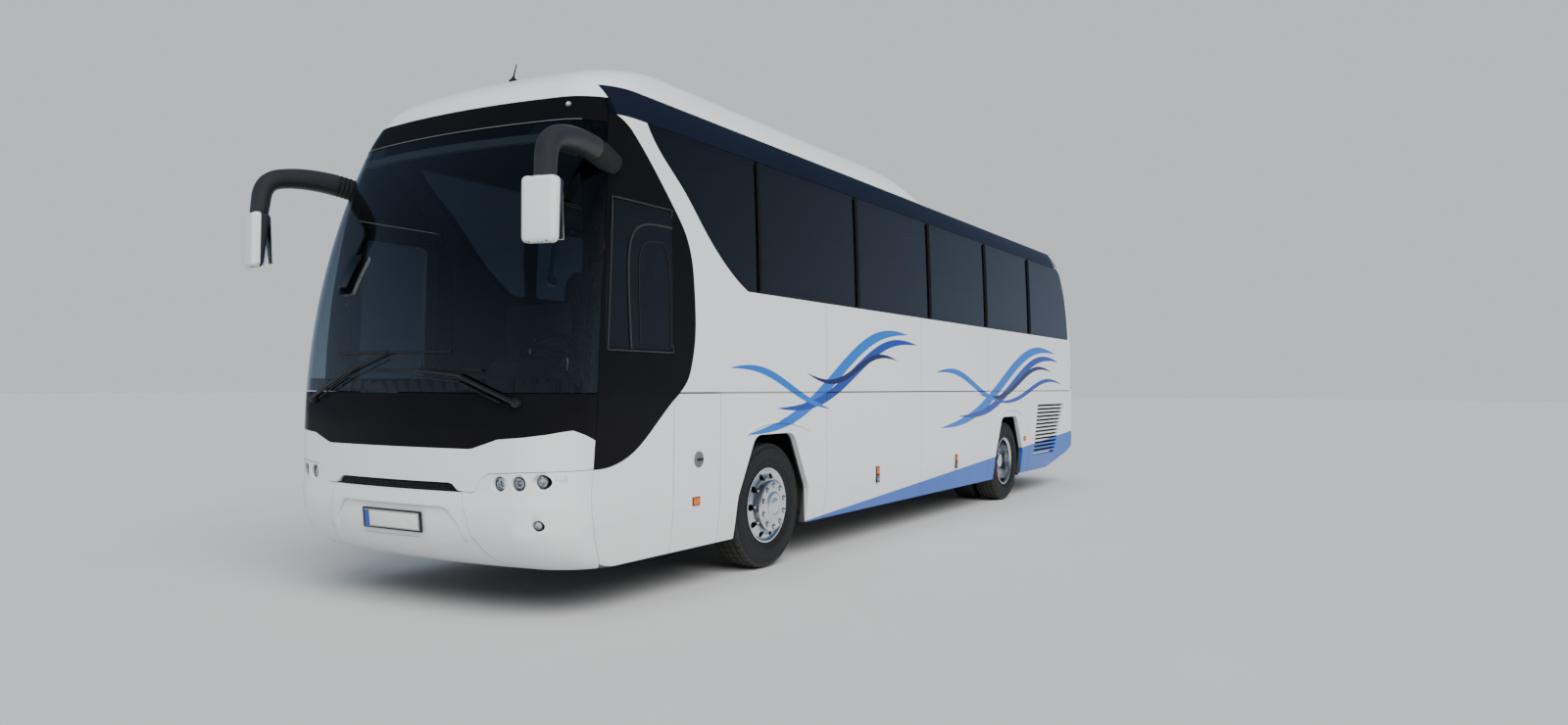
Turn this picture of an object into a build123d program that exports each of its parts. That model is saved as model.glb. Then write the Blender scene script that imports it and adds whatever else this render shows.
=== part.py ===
from build123d import *
from math import cos, radians, sin, sqrt
import os

os.makedirs("parts", exist_ok=True)

# Frame of the coach, in millimetres.
# X runs to the coach's left, Y to the rear and Z up. The ground is at Z 0.
# Distances along the coach are counted back from the nose in the tables below.
NOSE = -5930
LENGTH = 12050
WHEELBASE = 6060
FRONT_AXLE = 2740
REAR_AXLE = FRONT_AXLE + WHEELBASE
HALF_WIDTH = 1275
SILL = 310
SKIRT = 610
SEAM = 1430
BELT = 2220
GLASS_TOP = 3280
ROOF_EDGE = 3500
ROOF_TOP = 3580
DECK = 1440
CAB_FLOOR = 950

# Thickness of the outer panels, of the glass and of the gaps between panels.
PANEL = 60
GLASS = 12
SEAM_GAP = 6

# The body is bowed at both ends and leans in with arcs above these heights.
NOSE_BOW = 5200
TAIL_BOW = 16000
FRONT_CORNER = 390
REAR_CORNER = 150
NOSE_LEAN = (1100, 4960)
SIDE_LEAN = (1300, 37000)
TAIL_LEAN = (1700, 2505)


def leant(height, lean):
    """Says how far a face has leant in at a height, along an arc that starts upright."""
    start, radius = lean
    rise = max(0, height - start)
    return radius - sqrt(radius**2 - rise**2)


def bowed_end(half_width, apex, bow, corner, way):
    """Gives the bow's end, the corner's middle and the corner's end of one end of the outline."""
    middle_x = half_width - corner
    reach = sqrt((bow - corner) ** 2 - middle_x**2)
    middle_y = apex + way * (bow - reach)
    bow_end = (middle_x * bow / (bow - corner), apex + way * (bow - bow * reach / (bow - corner)))
    turn = Vector(bow_end[0] - middle_x, bow_end[1] - middle_y).normalized() + Vector(1, 0)
    turn = turn.normalized() * corner
    return bow_end, (middle_x + turn.X, middle_y + turn.Y), (half_width, middle_y)


def plan_outline(height, half_width, nose, tail, front_corner=FRONT_CORNER, rear_corner=REAR_CORNER):
    """Draws the closed outline of the body as seen from above, on a level plane."""
    nose_y = NOSE + nose
    tail_y = NOSE + tail
    front, front_mid, front_end = bowed_end(half_width, nose_y, NOSE_BOW, front_corner, 1)
    rear, rear_mid, rear_end = bowed_end(half_width, tail_y, TAIL_BOW, rear_corner, -1)
    with BuildSketch(Plane.XY.offset(height)) as outline:
        with BuildLine():
            ThreePointArc((-front[0], front[1]), (0, nose_y), front)
            ThreePointArc(front, front_mid, front_end)
            Line(front_end, rear_end)
            ThreePointArc(rear_end, rear_mid, rear)
            ThreePointArc(rear, (0, tail_y), (-rear[0], rear[1]))
            ThreePointArc((-rear[0], rear[1]), (-rear_mid[0], rear_mid[1]), (-rear_end[0], rear_end[1]))
            Line((-rear_end[0], rear_end[1]), (-front_end[0], front_end[1]))
            ThreePointArc((-front_end[0], front_end[1]), (-front_mid[0], front_mid[1]), (-front[0], front[1]))
        make_face()
    return outline.sketch


def body_section(height, inset, nose_tuck=0, side_tuck=0, tail_tuck=0):
    """Draws the body's outline at a height, set in by a wall and by any tuck under the skirt."""
    return plan_outline(
        height,
        HALF_WIDTH - leant(height, SIDE_LEAN) - side_tuck - inset,
        leant(height, NOSE_LEAN) + nose_tuck + inset,
        LENGTH - leant(height, TAIL_LEAN) - tail_tuck - inset,
        FRONT_CORNER - inset,
        REAR_CORNER - inset,
    )


# Skirt sections: height, then how far nose, sides and tail tuck in there.
SKIRT_SECTIONS = (
    (SILL, 320, 40, 60),
    (380, 160, 28, 45),
    (490, 55, 14, 25),
    (SKIRT, 15, 0, 5),
)
WALL_HEIGHTS = (SKIRT, 1100, 1700, 2300, 2850, GLASS_TOP)
# Cove sections: height and how far the sides lean in further there.
COVE_SECTIONS = ((GLASS_TOP, 0), (3400, 35), (ROOF_EDGE, 85))
# Roof crown: how far above the roof's edge, and how far in from it.
CROWN_SECTIONS = ((0, 0), (40, 300), (65, 600), (80, 900))


def crown_section(rise, reach, inset):
    """Draws the roof's outline above its edge, drawn in from all sides by the reach."""
    return plan_outline(
        ROOF_EDGE + rise - inset,
        HALF_WIDTH - leant(ROOF_EDGE, SIDE_LEAN) - COVE_SECTIONS[-1][1] - inset - reach,
        leant(ROOF_EDGE, NOSE_LEAN) + inset + reach,
        LENGTH - leant(ROOF_EDGE, TAIL_LEAN) - inset - reach,
        FRONT_CORNER - inset - reach * 0.2,
        REAR_CORNER - inset,
    )


def hull(inset):
    """Makes the body as one closed solid, set in by a wall thickness."""
    skirt_top = SKIRT_SECTIONS[-1]
    squeeze = (ROOF_EDGE - inset - GLASS_TOP) / (ROOF_EDGE - GLASS_TOP)
    with BuildPart() as body:
        loft([body_section(height, inset, nose, side, tail) for height, nose, side, tail in SKIRT_SECTIONS])
        walls = [body_section(height, inset) for height in WALL_HEIGHTS[1:]]
        loft([body_section(SKIRT, inset, *skirt_top[1:])] + walls)
        cove = [
            plan_outline(
                GLASS_TOP + (height - GLASS_TOP) * squeeze,
                HALF_WIDTH - leant(height, SIDE_LEAN) - lean_in - inset,
                leant(height, NOSE_LEAN) + inset,
                LENGTH - leant(height, TAIL_LEAN) - inset,
                FRONT_CORNER - inset,
                REAR_CORNER - inset,
            )
            for height, lean_in in COVE_SECTIONS
        ]
        loft(cove)
        loft([crown_section(rise, reach, inset) for rise, reach in CROWN_SECTIONS])
    return body.part


outer_hull = hull(0)
glass_hull = hull(GLASS)
inner_hull = hull(PANEL)
lining_hull = hull(PANEL + 8)
wall_shell = outer_hull - inner_hull
glass_shell = outer_hull - glass_hull
frame_shell = glass_hull - inner_hull


def region(points, plane=Plane.YZ):
    """Draws a closed outline. On the side plane its points are distance behind the nose and height."""
    shift = NOSE if plane == Plane.YZ else 0
    with BuildSketch(plane) as outline:
        with BuildLine():
            Polyline(*[(along + shift, height) for along, height in points], close=True)
        make_face()
    return outline.sketch


def box_region(start, end, low, high, corner=0, plane=Plane.YZ):
    """Draws a rectangle between two places and two heights, with rounded corners if asked."""
    shift = NOSE if plane == Plane.YZ else 0
    with BuildSketch(plane) as outline:
        with Locations(((start + end) / 2 + shift, (low + high) / 2)):
            if corner:
                RectangleRounded(end - start, high - low, corner)
            else:
                Rectangle(end - start, high - low)
    return outline.sketch


def smooth_region(*curves, plane=Plane.YZ):
    """Draws a closed outline from smooth curves through rows of points, joined by straight lines."""
    shift = NOSE if plane == Plane.YZ else 0
    with BuildSketch(plane) as outline:
        with BuildLine():
            for curve, following in zip(curves, curves[1:] + curves[:1]):
                points = [(along + shift, height) for along, height in curve]
                Spline(*points)
                Line(points[-1], (following[0][0] + shift, following[0][1]))
        make_face()
    return outline.sketch


def block(x, y, z):
    """Makes a plain block from its lowest and highest X, Y and Z, with Y counted from the nose."""
    with BuildPart() as plain:
        with Locations(((x[0] + x[1]) / 2, NOSE + (y[0] + y[1]) / 2, (z[0] + z[1]) / 2)):
            Box(x[1] - x[0], y[1] - y[0], z[1] - z[0])
    return plain.part


def finish(piece, label):
    """Labels a finished piece and writes it."""
    piece.part.label = label
    export_step(piece.part, f"parts/{label}.step")


LEFT = 1600
RIGHT = -1600
BOTH = 1600

# Outlines seen from the side, as distance behind the nose and height.
# The line where the windscreen, the mask and the bumper end, from the sill up to the visor.
FRONT_SEAM = (
    (630, SILL),
    (570, 415),
    (520, 540),
    (492, 650),
    (480, 750),
    (484, 850),
    (500, 950),
    (530, 1330),
    (545, 1700),
    (570, 2090),
    (660, 2810),
)
FRONT_SEAM_TOP = ((700, 3080), (750, GLASS_TOP), (800, ROOF_EDGE))
FRONT_SEAM_LINE = FRONT_SEAM + FRONT_SEAM_TOP
# The dark zone around the driver's window ends in a sweep that runs up to the cove.
DARK_SWEEP = (
    (500, 950),
    (670, 960),
    (900, 1040),
    (1120, 1200),
    (1370, 1400),
    (1510, 1520),
    (1570, 1660),
    (1600, 1800),
    (1600, 2170),
    (1575, 2380),
    (1500, 2570),
    (1380, 2720),
    (1150, 2970),
    (880, 3220),
    (800, GLASS_TOP),
)
# The glass band begins at a slanted line and ends near the rear corner.
BAND_START = ((2330, BELT), (2040, 2380), (1750, 2620), (1480, 2890), (1150, 3180), (1080, GLASS_TOP))
BAND_END = ((11160, GLASS_TOP), (11340, 3230), (11500, 3040), (11630, 2720), (11700, 2400), (11720, BELT))
# The rear wall begins at this line.
REAR_SEAM = (
    (11820, 300),
    (11820, 2230),
    (11750, 2720),
    (11540, 3100),
    (11340, GLASS_TOP),
    (11080, ROOF_EDGE),
)

# Doors and flaps, as start and end behind the nose, then low and high edge.
FRONT_DOOR = (580, 1430, 345, 2720)
MIDDLE_DOOR = (6200, 7050, 345, 2150)
LUGGAGE_START = 3640
LUGGAGE_END = 7970
LEFT_FLAPS = (
    ("left_front_luggage_flap", LUGGAGE_START, 5800),
    ("left_rear_luggage_flap", 5808, LUGGAGE_END),
)
RIGHT_FLAP = (LUGGAGE_START, 5980)
SERVICE_FLAP = (1350, 1930)
RADIATOR_FLAP = (9650, 11640)
FLAP_TOP = SEAM - 4
# Cuts that run past the sill start at this height.
UNDER_SILL = 200


def rim(points, grow):
    """Shifts a front-to-back line of points along the coach."""
    return [(along + grow, height) for along, height in points]


# Outer walls.
HALF_SEAM = SEAM_GAP / 2
SIDE_BACK = list(reversed([(along - HALF_SEAM, height) for along, height in REAR_SEAM]))
SIDE_FRONT = rim(FRONT_SEAM_LINE, HALF_SEAM)
side_area = region(SIDE_FRONT + SIDE_BACK)
seam_beside_dark = [point for point in FRONT_SEAM_LINE if DARK_SWEEP[0][1] <= point[1] <= GLASS_TOP]
dark_area = smooth_region(DARK_SWEEP, list(reversed(rim(seam_beside_dark, -50))))
band_area = smooth_region(BAND_START, BAND_END)
sill_cut = region([(10580, 200), (10580, SILL), (11640, 490), (11890, 580), (12100, 580), (12100, 200)])
roof_cut = box_region(-200, LENGTH + 200, GLASS_TOP - HALF_SEAM, 4000)
ARCH_HALF = (575, 560, 300)
ARCH_HEIGHTS = (200, 620, 1095)


def wheel_opening(axle):
    """Draws the opening in the side wall over a wheel."""
    points = [(axle - half, height) for half, height in zip(ARCH_HALF, ARCH_HEIGHTS)]
    points += [(axle + half, height) for half, height in zip(reversed(ARCH_HALF), reversed(ARCH_HEIGHTS))]
    with BuildSketch(Plane.YZ) as opening:
        with BuildLine():
            Polyline(*[(along + NOSE, height) for along, height in points], close=True)
        make_face()
        top_corners = opening.vertices().filter_by_position(Axis.Y, 600, 1200)
        fillet(top_corners, 140)
    return opening.sketch


def side_wall(side, lids):
    """Makes one side wall, with openings for glass, wheels, doors and flaps."""
    with BuildPart() as wall:
        add(wall_shell)
        extrude(side_area, amount=side, mode=Mode.INTERSECT)
        for cut in (dark_area, band_area, roof_cut, sill_cut):
            extrude(cut, amount=side, mode=Mode.SUBTRACT)
        for axle in (FRONT_AXLE, REAR_AXLE):
            extrude(wheel_opening(axle), amount=side, mode=Mode.SUBTRACT)
        for start, end, low, high in lids:
            extrude(box_region(start - 8, end + 8, low - 8, high + 8, 20), amount=side, mode=Mode.SUBTRACT)
    return wall


left_lids = [(LUGGAGE_START, LUGGAGE_END, UNDER_SILL, FLAP_TOP)]
left_lids += [(*edges, UNDER_SILL, FLAP_TOP) for edges in (SERVICE_FLAP, RADIATOR_FLAP)]
right_lids = [FRONT_DOOR, MIDDLE_DOOR, (*RIGHT_FLAP, UNDER_SILL, FLAP_TOP)]
left_side_wall = side_wall(LEFT, left_lids)
finish(left_side_wall, "left_side_wall")
right_side_wall = side_wall(RIGHT, right_lids)
finish(right_side_wall, "right_side_wall")

# Flaps in the side walls. Each is the wall's own curve, cut out with a gap all round.
dark_margin = smooth_region(rim(DARK_SWEEP, 12), list(reversed(rim(seam_beside_dark, -50))))
for label, start, end in LEFT_FLAPS + (("left_service_flap", *SERVICE_FLAP),):
    with BuildPart() as flap:
        add(wall_shell)
        extrude(box_region(start, end, UNDER_SILL, FLAP_TOP, 12), amount=LEFT, mode=Mode.INTERSECT)
        extrude(dark_margin, amount=LEFT, mode=Mode.SUBTRACT)
    finish(flap, label)
with BuildPart() as right_luggage_flap:
    add(wall_shell)
    extrude(box_region(*RIGHT_FLAP, UNDER_SILL, FLAP_TOP, 12), amount=RIGHT, mode=Mode.INTERSECT)
finish(right_luggage_flap, "right_luggage_flap")

# The radiator flap has fourteen louvre slots that grow longer towards the top.
LOUVRES = 14
LOUVRE_LOW = (9870, 10890, 540)
LOUVRE_HIGH = (10070, 11430, 1220)
LOUVRE_HEIGHT = 30
with BuildPart() as radiator_flap:
    add(wall_shell)
    extrude(box_region(*RADIATOR_FLAP, UNDER_SILL, FLAP_TOP, 12), amount=LEFT, mode=Mode.INTERSECT)
    extrude(sill_cut, amount=LEFT, mode=Mode.SUBTRACT)
    for number in range(LOUVRES):
        part_way = number / (LOUVRES - 1)
        start, end, height = [low + part_way * (high - low) for low, high in zip(LOUVRE_LOW, LOUVRE_HIGH)]
        slot = box_region(start, end, height - LOUVRE_HEIGHT / 2, height + LOUVRE_HEIGHT / 2, 14)
        extrude(slot, amount=LEFT, mode=Mode.SUBTRACT)
finish(radiator_flap, "radiator_flap")

# Black panels at the front corners, with the driver's window in a rebate on the left.
DRIVER_PANE = (600, 1335, 1725, 2700)
start, end, low, high = DRIVER_PANE


def behind_seam(gap):
    """Draws everything behind the front seam, a gap away from it."""
    line = rim(FRONT_SEAM_LINE, gap)
    return region([(LENGTH, ROOF_EDGE), (LENGTH, SILL)] + line)


corner_area = dark_area & behind_seam(HALF_SEAM)
driver_pane_area = box_region(*DRIVER_PANE, 56) & behind_seam(34)
driver_rebate_area = box_region(start - 4, end + 4, low - 4, high + 4, 60) & behind_seam(30)
driver_rebate = extrude(driver_rebate_area, amount=LEFT) - glass_hull
driver_gap = box_region(start + 35, end - 35, low + 35, high - 35, 50) & behind_seam(69)
with BuildPart() as front_corner_panels:
    add(wall_shell)
    extrude(corner_area, amount=BOTH, both=True, mode=Mode.INTERSECT)
    extrude(roof_cut, amount=BOTH, both=True, mode=Mode.SUBTRACT)
    door_hole = box_region(FRONT_DOOR[0] - 8, FRONT_DOOR[1] + 8, FRONT_DOOR[2], FRONT_DOOR[3] + 8, 20)
    extrude(door_hole, amount=RIGHT, mode=Mode.SUBTRACT)
    add(driver_rebate, mode=Mode.SUBTRACT)
    extrude(driver_gap, amount=LEFT, mode=Mode.SUBTRACT)
finish(front_corner_panels, "front_corner_panels")

# Fixed panes and the frame behind them.
DIVIDERS = (2500, 4270, 6060, 7900, 9700)
REAR_PANE = (-950, 950, 2330, 3080)
BACK_WALL = Plane.XZ.offset(-(NOSE + LENGTH + 200))
PANE_ENDS = (BAND_START[-1][0], *DIVIDERS, BAND_END[-1][0])


def pane_outline(start, end, gap, corner):
    """Draws one side pane between two dividers, kept clear of the band's edges by a gap."""
    slanted = smooth_region(rim(BAND_START, gap * 1.5), rim(BAND_END, -gap * 1.2))
    return box_region(start + gap, end - gap, BELT + gap, GLASS_TOP - gap, corner) & slanted


driver_pane = glass_shell & extrude(driver_pane_area, amount=LEFT)
rear_pane = glass_shell & extrude(box_region(*REAR_PANE, 80, BACK_WALL), amount=1200)
side_panes = []
side_frames = []
for side in (LEFT, RIGHT):
    side_frame = frame_shell & extrude(band_area, amount=side)
    for start, end in zip(PANE_ENDS, PANE_ENDS[1:]):
        side_panes.append(glass_shell & extrude(pane_outline(start, end, 4, 30), amount=side))
        side_frame -= extrude(pane_outline(start, end, 58, 40), amount=side)
    side_frames.append(side_frame)
with BuildPart() as window_glass:
    add(side_panes)
    add(driver_pane)
    add(rear_pane)
finish(window_glass, "window_glass")


def seam_at(height):
    """Says how far behind the nose the front seam is at a height."""
    for (back, low), (next_back, high) in zip(FRONT_SEAM_LINE, FRONT_SEAM_LINE[1:]):
        if low <= height <= high:
            return back + (next_back - back) * (height - low) / (high - low)
    return FRONT_SEAM_LINE[-1][0]


def front_zone(low, high, back=-3):
    """Draws everything ahead of the front seam between two heights."""
    between = [(along + back, height) for along, height in FRONT_SEAM_LINE if low < height < high]
    line = [(seam_at(low) + back, low)] + between + [(seam_at(high) + back, high)]
    return region([(-300, low)] + line + [(-300, high)])


SCREEN_LOW = SEAM
SCREEN_HIGH = 3215
VISOR_HIGH = 3400
with BuildPart() as windscreen:
    add(glass_shell)
    extrude(front_zone(SCREEN_LOW + 3, SCREEN_HIGH - 3), amount=BOTH, both=True, mode=Mode.INTERSECT)
finish(windscreen, "windscreen")
screen_frame = frame_shell & extrude(front_zone(SCREEN_LOW + 3, SCREEN_HIGH - 3), amount=BOTH, both=True)
screen_frame -= extrude(front_zone(SCREEN_LOW + 90, SCREEN_HIGH - 80, -110), amount=BOTH, both=True)
with BuildPart() as window_frames:
    add(side_frames)
    add(screen_frame)
finish(window_frames, "window_frames")
with BuildPart() as visor:
    add(wall_shell)
    extrude(front_zone(SCREEN_HIGH, VISOR_HIGH - 3), amount=BOTH, both=True, mode=Mode.INTERSECT)
finish(visor, "visor")

# Front outlines, as distance from the middle and height, for the left half.
NOSE_WALL = Plane.XZ.offset(-(NOSE - 300))
DARK_EDGE = (
    (0, 1085),
    (660, 1085),
    (690, 1090),
    (760, 1112),
    (870, 1148),
    (1050, 1164),
    (1160, 1181),
    (1250, 1205),
    (1400, 1205),
)
DARK_EDGE_SIDE = ((200, 1216), (340, 1204), (420, 1176), (560, 1120), (560, 1400), (200, 1400))
LAMP_SEAM = (
    (0, 868),
    (500, 868),
    (530, 862),
    (575, 820),
    (700, 814),
    (755, 900),
    (805, 934),
    (1060, 950),
    (1400, 956),
)
SEAM_CORNER = 38
FLAP_EDGE = ((600, 812), (630, 680), (665, 530), (740, 360), (800, 290))
SLOT = ((-560, 818), (560, 818), (520, 858), (495, 862), (-495, 862), (-520, 858))
LAMPS = ((883, 873), (1014, 878), (1138, 889))
LAMP_RADIUS = 46
LAMP_BORE = 900
FOG_LAMP = (1117, 622)
FOG_RADIUS = 34
# Hollows scooped around the lamps: place, radius at the surface and depth.
HOLLOWS = (
    (883, 873, 62, 19),
    (1014, 878, 62, 19),
    (1138, 889, 60, 19),
    (1117, 622, 56, 20),
)
# The bumper's ridge: height, then how far nose and sides stand behind the upright line there.
RIDGE_SECTIONS = ((486, 58, 17), (548, 18, 9), (735, -8, 3), (806, 9, 2))
PLATE_AREA = ((620, 500), (585, 600), (500, 700), (460, 718))


def mirrored(points):
    """Joins a left-hand line of points with its mirror image, from right to left."""
    other_half = points[1:] if points[0][0] == 0 else points
    return [(-along, height) for along, height in reversed(other_half)] + list(points)


def below(points, drop, floor=100):
    """Draws the area under a mirrored line, a little lower than the line, with its corners softened."""
    line = [(along, height - drop) for along, height in mirrored(points)]
    with BuildSketch(NOSE_WALL) as area:
        with BuildLine():
            Polyline((line[0][0], floor), *line, (line[-1][0], floor), close=True)
        make_face()
        bends = [point for point in area.vertices() if floor < point.Y and 400 < abs(point.X) < 1300]
        fillet(bends, SEAM_CORNER)
    return area.sketch


def scoop(across, height, radius, depth):
    """Makes the ball that cuts one hollow into the front, square to the surface there."""
    front, front_mid, front_end = bowed_end(HALF_WIDTH, NOSE, NOSE_BOW, FRONT_CORNER, 1)
    middle, bend = Vector(0, NOSE + NOSE_BOW), NOSE_BOW
    if abs(across) > front[0]:
        middle, bend = Vector(front_end[0] - FRONT_CORNER, front_end[1]), FRONT_CORNER
        middle.X = middle.X if across > 0 else -middle.X
    place = Vector(across, middle.Y - sqrt(bend**2 - (across - middle.X) ** 2))
    ball = (radius**2 + depth**2) / (2 * depth)
    centre = place + (place - middle).normalized() * (ball - depth)
    return Pos(centre.X, centre.Y, height) * Sphere(ball)


DEEP = -1600
ridge_sections = [
    plan_outline(height, HALF_WIDTH - side_tuck, nose_tuck, LENGTH - 500)
    for height, nose_tuck, side_tuck in RIDGE_SECTIONS
]
bumper_ridge = loft(ridge_sections, ruled=True) - inner_hull
with BuildPart() as front_face:
    add(wall_shell)
    add(bumper_ridge)
    extrude(front_zone(250, SEAM - 3), amount=BOTH, both=True, mode=Mode.INTERSECT)
dark_corner_margin = region([(along, height - 4) for along, height in DARK_EDGE_SIDE])
dark_corners = front_face.part & extrude(region(DARK_EDGE_SIDE), amount=BOTH, both=True)
slot_grille = frame_shell & extrude(region(SLOT, NOSE_WALL), amount=DEEP)
with BuildPart() as front_mask:
    add(front_face.part)
    extrude(below(DARK_EDGE, -1), amount=DEEP, mode=Mode.SUBTRACT)
    add(dark_corners)
    add(slot_grille)
finish(front_mask, "front_mask")
with BuildPart() as front_panel:
    add(front_face.part)
    extrude(below(DARK_EDGE, 3), amount=DEEP, mode=Mode.INTERSECT)
    extrude(below(LAMP_SEAM, -1), amount=DEEP, mode=Mode.SUBTRACT)
    extrude(dark_corner_margin, amount=BOTH, both=True, mode=Mode.SUBTRACT)
finish(front_panel, "front_panel")
flap_outline = mirrored(FLAP_EDGE)
plate_recess = extrude(region(mirrored(PLATE_AREA), NOSE_WALL), amount=DEEP) - hull(8)
with BuildPart() as front_flap:
    add(front_face.part)
    extrude(region(flap_outline, NOSE_WALL), amount=DEEP, mode=Mode.INTERSECT)
    add(plate_recess, mode=Mode.SUBTRACT)
finish(front_flap, "front_flap")
hole_edge = ((600, 900),) + FLAP_EDGE + ((800, UNDER_SILL),)
flap_hole = region(mirrored([(along + 8, height) for along, height in hole_edge]), NOSE_WALL)
hollows = [scoop(side * across, *sizes) for across, *sizes in HOLLOWS for side in (-1, 1)]
with BuildPart() as front_bumper:
    add(front_face.part)
    extrude(below(LAMP_SEAM, 3), amount=DEEP, mode=Mode.INTERSECT)
    extrude(flap_hole, amount=DEEP, mode=Mode.SUBTRACT)
    for side in (-1, 1):
        for across, height in LAMPS:
            with Locations((side * across, NOSE + 200, height)):
                Cylinder(LAMP_RADIUS, LAMP_BORE, rotation=(90, 0, 0), mode=Mode.SUBTRACT)
        with Locations((side * FOG_LAMP[0], NOSE + 200, FOG_LAMP[1])):
            Cylinder(FOG_RADIUS, LAMP_BORE, rotation=(90, 0, 0), mode=Mode.SUBTRACT)
    add(hollows, mode=Mode.SUBTRACT)
finish(front_bumper, "front_bumper")

# Lamps stand a little back in their holes.
LAMP_FACE = 22
LAMP_BACK = 50
lamp_hull = hull(LAMP_FACE)
lamp_back = hull(LAMP_BACK)
with BuildPart() as front_lamps:
    for side in (-1, 1):
        for across, height in LAMPS:
            with Locations((side * across, NOSE + 200, height)):
                Cylinder(LAMP_RADIUS - 2, LAMP_BORE, rotation=(90, 0, 0))
        with Locations((side * FOG_LAMP[0], NOSE + 200, FOG_LAMP[1])):
            Cylinder(FOG_RADIUS - 2, LAMP_BORE, rotation=(90, 0, 0))
    add(lamp_hull, mode=Mode.INTERSECT)
    add(lamp_back, mode=Mode.SUBTRACT)
finish(front_lamps, "front_lamps")

# Roof, cove bands and the raised fairing over the front half.
COVE_START = 806
COVE_END = 11080
cove_area = box_region(COVE_START, COVE_END - SEAM_GAP, GLASS_TOP, ROOF_EDGE - HALF_SEAM)
with BuildPart() as cove_bands:
    add(wall_shell)
    extrude(cove_area, amount=BOTH, both=True, mode=Mode.INTERSECT)
finish(cove_bands, "cove_bands")
HATCHES = (("front_roof_hatch", 3300), ("rear_roof_hatch", 8700))
HATCH_SIZE = 640
roof_nose = wall_shell & extrude(box_region(-100, 800, VISOR_HIGH, ROOF_EDGE), amount=BOTH, both=True)
with BuildPart() as roof_shell:
    add(wall_shell)
    extrude(box_region(-100, LENGTH + 100, ROOF_EDGE, 4000), amount=BOTH, both=True, mode=Mode.INTERSECT)
    add(roof_nose)
    for label, middle in HATCHES:
        with Locations((0, NOSE + middle, ROOF_TOP)):
            Box(HATCH_SIZE, HATCH_SIZE, 400, mode=Mode.SUBTRACT)
finish(roof_shell, "roof_shell")
# Fairing sections: height, then nose, half width and tail of the outline there.
FAIRING_SECTIONS = (
    (3505, 640, 1122, 6450),
    (3560, 700, 1095, 6330),
    (3640, 830, 1035, 6130),
    (3720, 1020, 960, 5880),
    (3780, 1250, 870, 5600),
    (3825, 1560, 740, 5200),
    (3850, 2100, 500, 4600),
)


def fairing(inset, drop):
    """Makes the raised fairing as one closed solid, drawn in and lowered for its inside."""
    sections = []
    for height, nose, half_width, tail in FAIRING_SECTIONS:
        corner = min(380, half_width * 0.45) - inset
        ends = (nose + inset, tail - inset)
        sections.append(plan_outline(height - drop, half_width - inset, *ends, corner, corner))
    return loft(sections)


fairing_inside = fairing(PANEL, PANEL)
shaft_y = HATCHES[0][1]
shaft_half = HATCH_SIZE / 2 + 40
shaft_span = (shaft_y - shaft_half, shaft_y + shaft_half)
hatch_shaft = fairing(0, 0) & block((-shaft_half, shaft_half), shaft_span, (ROOF_EDGE, 4000))
with BuildPart() as roof_fairing:
    add(fairing(0, 0))
    add(fairing_inside, mode=Mode.SUBTRACT)
    add(hatch_shaft)
    add(outer_hull, mode=Mode.SUBTRACT)
    with Locations((0, NOSE + HATCHES[0][1], ROOF_TOP)):
        Box(HATCH_SIZE + 20, HATCH_SIZE + 20, 800, mode=Mode.SUBTRACT)
finish(roof_fairing, "roof_fairing")

# Roof hatches: shallow caps that stand on the roof around their holes.
HATCH_LIFT = ((3852, 3560), (3582, 3560))
for (label, middle), (top, low) in zip(HATCHES, HATCH_LIFT):
    with BuildPart() as hatch:
        with BuildSketch(Plane.XY.offset(top + 4)):
            with Locations((0, NOSE + middle)):
                RectangleRounded(HATCH_SIZE + 80, HATCH_SIZE + 80, 60)
        extrude(amount=30)
        fillet(hatch.edges().group_by(Axis.Z)[-1], 12)
    finish(hatch, label)

# Rear: the wall with its window, the engine cover, the lamps and the bumper.
REAR_BUMPER_TOP = 760
ENGINE_COVER = (-1000, 1000, 780, 2040)
TAIL_LAMP = (1080, 1170, 1000, 1660)
# The rear number plate sits in a shallow recess: left, right, low and high edge, then depth.
REAR_RECESS = (-300, 300, 585, 725)
RECESS_DEPTH = 22
rear_area = region(rim(REAR_SEAM, HALF_SEAM) + [(LENGTH + 100, ROOF_EDGE), (LENGTH + 100, 300)])
roof_above_rear = box_region(COVE_END, LENGTH + 200, ROOF_EDGE - HALF_SEAM, 4000)
with BuildPart() as rear_face:
    add(wall_shell)
    extrude(rear_area, amount=BOTH, both=True, mode=Mode.INTERSECT)
    extrude(roof_above_rear, amount=BOTH, both=True, mode=Mode.SUBTRACT)
    extrude(sill_cut, amount=BOTH, both=True, mode=Mode.SUBTRACT)


def tail_lamp_areas(grow):
    """Draws the outlines of both tail lamps on the back wall, larger all round by a gap."""
    left, right, low, high = TAIL_LAMP
    with BuildSketch(BACK_WALL) as areas:
        for side in (-1, 1):
            with Locations((side * (left + right) / 2, (low + high) / 2)):
                RectangleRounded(right - left + 2 * grow, high - low + 2 * grow, 40 + grow)
    return areas.sketch


REAR_DEEP = 1200
with BuildPart() as tail_lamps:
    add(rear_face.part)
    extrude(tail_lamp_areas(0), amount=REAR_DEEP, mode=Mode.INTERSECT)
finish(tail_lamps, "tail_lamps")
left, right, low, high = REAR_PANE
rear_rebate_area = box_region(left - 4, right + 4, low - 4, high + 4, 84, BACK_WALL)
rear_rebate = extrude(rear_rebate_area, amount=REAR_DEEP) - glass_hull
rear_gap_area = box_region(left + 35, right - 35, low + 35, high - 35, 60, BACK_WALL)
left, right, low, high = ENGINE_COVER
cover_hole = box_region(left - 8, right + 8, low - 30, high + 8, 40, BACK_WALL)
bumper_area = box_region(LENGTH - 600, LENGTH + 200, UNDER_SILL, REAR_BUMPER_TOP - 3)
above_bumper = box_region(LENGTH - 600, LENGTH + 200, UNDER_SILL, REAR_BUMPER_TOP + 3)
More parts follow.
